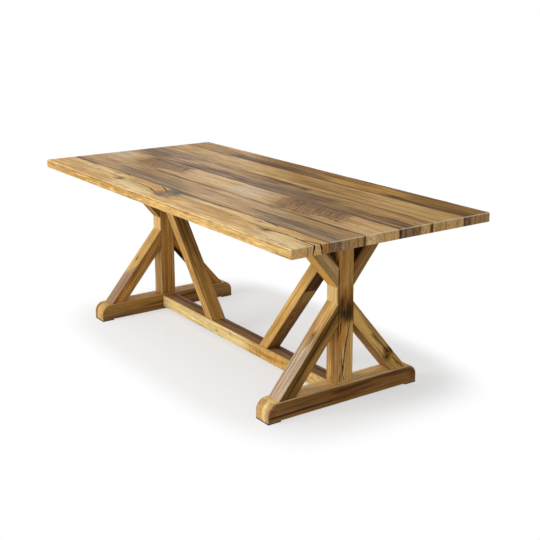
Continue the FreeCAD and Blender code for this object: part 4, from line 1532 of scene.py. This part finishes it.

# %% [markdown]
# ## Stretcher and long braces
# One rail joins the feet close to the floor, and a long brace climbs from it to the head of each
# post. All three lie in the middle plane of the table, so they are the pieces that are seen most
# clearly between the trestles. They take the helpers from above and differ in their marks alone:
# the stretcher is pale and clean, and the long braces darken towards their heads, a painted shade
# from the planks above them.

# %% Stretcher
# It is drawn from foot to foot, because its tenons are hidden inside them.
low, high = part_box("left_foot")[1].x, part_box("right_foot")[0].x
rail_low, rail_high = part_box("stretcher")
rail_marks = [
    band("-y", "f6dc98", 0.85, 0.05, 0.05, -0.75, 0.75, fade=0.02),
    band("-y", "e6bc74", 0.60, 0.05, 0.05, 0.26, 0.75, fade=0.08),
    band("-y", "dba654", 0.65, 0.047, 0.05, 0.10, 0.50, lean=0.6, fade=0.05, sawn=0.2),
    band("-y", "b07832", 0.55, 0.050, 0.008, 0.16, 0.30, slope=-0.10, fade=0.03),
    band("-y", "b8823c", 0.55, 0.040, 0.006, 0.26, 0.42, slope=0.10, fade=0.03),
    knot("-y", -0.165, 0.040, 0.0036, 1.4, "63401c", "c08e4e"),
    knot("-y", -0.043, 0.056, 0.0038, 1.4, "63401c", "c08e4e"),
    flecks("-y", "b0722c", 0.50, 0.10, 0.75, 0.022, 0.0075, 0.52),
    flecks("-y", "fff0cc", 0.40, -0.75, 0.10, 0.045, 0.0070, 0.54),
    band("+z", "846448", 0.85, 0.0, 0.06, -0.75, 0.75, fade=0.02),
    band("+z", "58403a", 0.75, 0.012, 0.009, -0.75, 0.75, fade=0.08),
    band("+z", "a87c4a", 0.60, -0.024, 0.007, -0.75, 0.75, fade=0.08),
]
# The stretcher's pale edge tone (arris) is partly wear and partly a painted highlight.
timber("stretcher", "frame_wood", Matrix.Identity(4), rectangle(low, high, rail_low.y, rail_high.y),
       rail_low.z, rail_high.z, frame_eased, frame_tones, (6.1, 0.3, 3.3), rail_marks,
       contrast=0.75, arris="e0bc7c", arris_share=0.5)
print("stretcher:", round(1000 * (high - low)), "mm between the feet")

# %% Long braces
long_depth = 0.050
long_marks = {
    "left": [band("-y", "b88a4a", 0.60, 0.0, 0.05, -0.1, 0.90),
             # Painted shade: darker towards the head, under the planks.
             band("-y", "7c5c34", 0.80, 0.0, 0.05, 0.30, 0.90, fade=0.15),
             band("-y", "4e3820", 0.70, -0.010, 0.005, 0.30, 0.85, fade=0.08),
             band("-y", "553d22", 0.65, 0.014, 0.004, 0.36, 0.90, fade=0.08),
             band("+z", "d9b06a", 0.55, -0.02, 0.04, -0.1, 0.9, fade=0.02)],
    "right": [band("-y", "74542f", 0.80, 0.0, 0.05, -0.1, 0.9, fade=0.02),
              band("-y", "ac8c56", 0.80, -0.004, 0.026, 0.38, 0.50, fade=0.03),
              band("-y", "3c220c", 0.90, -0.0345, 0.0045, -0.1, 0.5),
              # Painted shadow: near black towards the head, under the planks.
              band("-y", "40230f", 0.94, 0.0, 0.05, 0.466, 0.9, lean=0.10, fade=0.004),
              knot("-y", 0.185, 0.019, 0.004, 1.4, "2e2014", "5a4228"),
              knot("-y", 0.273, 0.006, 0.004, 1.4, "2e2014", "5a4228"),
              knot("-y", 0.215, -0.006, 0.003, 1.4, "3a2819", "5a4228"),
              knot("-y", 0.330, 0.014, 0.003, 1.4, "3a2819", "5a4228"),
              band("+z", "dcb066", 0.65, -0.02, 0.04, -0.1, 0.9, fade=0.02),
              band("+z", "b07c38", 0.60, -0.020, 0.003, -0.1, 0.9, fade=0.02)],
}
for side, sign in sides.items():
    node = side + "_long_brace"
    low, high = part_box(node)
    bottom_x = low.x if sign > 0 else high.x
    top_x = high.x if sign > 0 else low.x
    first, last = Vector((bottom_x, 0, low.z)), Vector((top_x, 0, high.z))
    way, corners = brace_outline(first, last, Vector((sign, 0, -1)), long_depth, True)
    brace(node, corners, way, (0, -1, 0), (high.y - low.y) / 2, frame_tones, (4.7 * sign, 3.0, 1.2),
          long_marks[side])
print("long braces are", 1000 * long_depth, "mm deep")

# %% [markdown]
# ## What stays as it is in the frame
#
# The bearers under the top have slots and pockets for the screws that hold it, and the CAD shape
# is already right, so they keep it and only take a finish. The same goes for the pads, dowels,
# splines and steel. Their objects sit at the origin, so a bearer's grain, which runs across the
# table, is told to the oak recipe by swapping X and Y.

# %% Bearers
def dress(node, finish):
    """Gives a node of the frame its finish, and leaves its shape alone."""
    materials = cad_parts[node].data.materials
    materials.clear()
    materials.append(finish)


# The bearers' oak is very dark: partly its own colour and partly painted shade for the deep shadow under the
# top.
bearer_tones = ("3e2e1e", "2e2013", "1e140c")
for side in sides:
    node = side + "_bearer"
    low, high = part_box(node)
    box = ((low.y, low.x, low.z), (high.y, high.x, high.z))
    dress(node, oak(node + "_finish", bearer_tones, (0.7, 5.5, 2.5), box, turned=True))
print("bearers dressed:", len(sides))


# %% Pads, dowels, splines and steel
def plain_finish(name, stops, stretch, roughness, metal=0.0, bump=0.15):
    """A finish with one stretched noise for its colour, roughness and bump."""
    material, r = new_finish(name)
    place = r.add("TexCoord").outputs["Object"]
    texture = r.noise(r.scaled(place, *stretch), 4.0, 0.6)
    colour = r.ramp(texture, [(0.35, paint(stops[0])), (0.65, paint(stops[1]))])
    rough = r.step(texture, 0.3, 0.7, roughness - 0.07, roughness + 0.07)
    relief = r.add("Bump", {"Strength": bump, "Distance": 0.0003, "Height": texture})
    shader = r.add("BsdfPrincipled", {"Base Color": colour, "Roughness": rough, "Normal": relief.outputs[0]})
    shader.inputs["Metallic"].default_value = metal
    r.add("OutputMaterial", {0: shader.outputs[0]})
    return material


finishes = {
    "pad": plain_finish("pad_rubber", ("33241a", "4a3522"), (300, 300, 300), 0.75),
    "dowel": plain_finish("dowel_beech", ("c79f6c", "dcbb8c"), (90, 90, 90), 0.6),
    "spline": plain_finish("spline_birch", ("c9a673", "dabd8f"), (15, 300, 300), 0.6),
    "steel": plain_finish("steel_zinc", ("8f9296", "b4b7ba"), (400, 400, 60), 0.38, 1.0, 0.05),
}


def finish_for(node):
    """Which of the plain finishes a node of the frame takes, by its name."""
    if node.endswith("_pad"):
        return finishes["pad"]
    if node.endswith("_dowels"):
        return finishes["dowel"]
    if node.startswith("top_spline"):
        return finishes["spline"]
    return finishes["steel"]


kept = [name for name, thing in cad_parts.items() if not thing.hide_render and "bearer" not in name]
for name in kept:
    dress(name, finish_for(name))
print("kept from the frame:", len(kept))
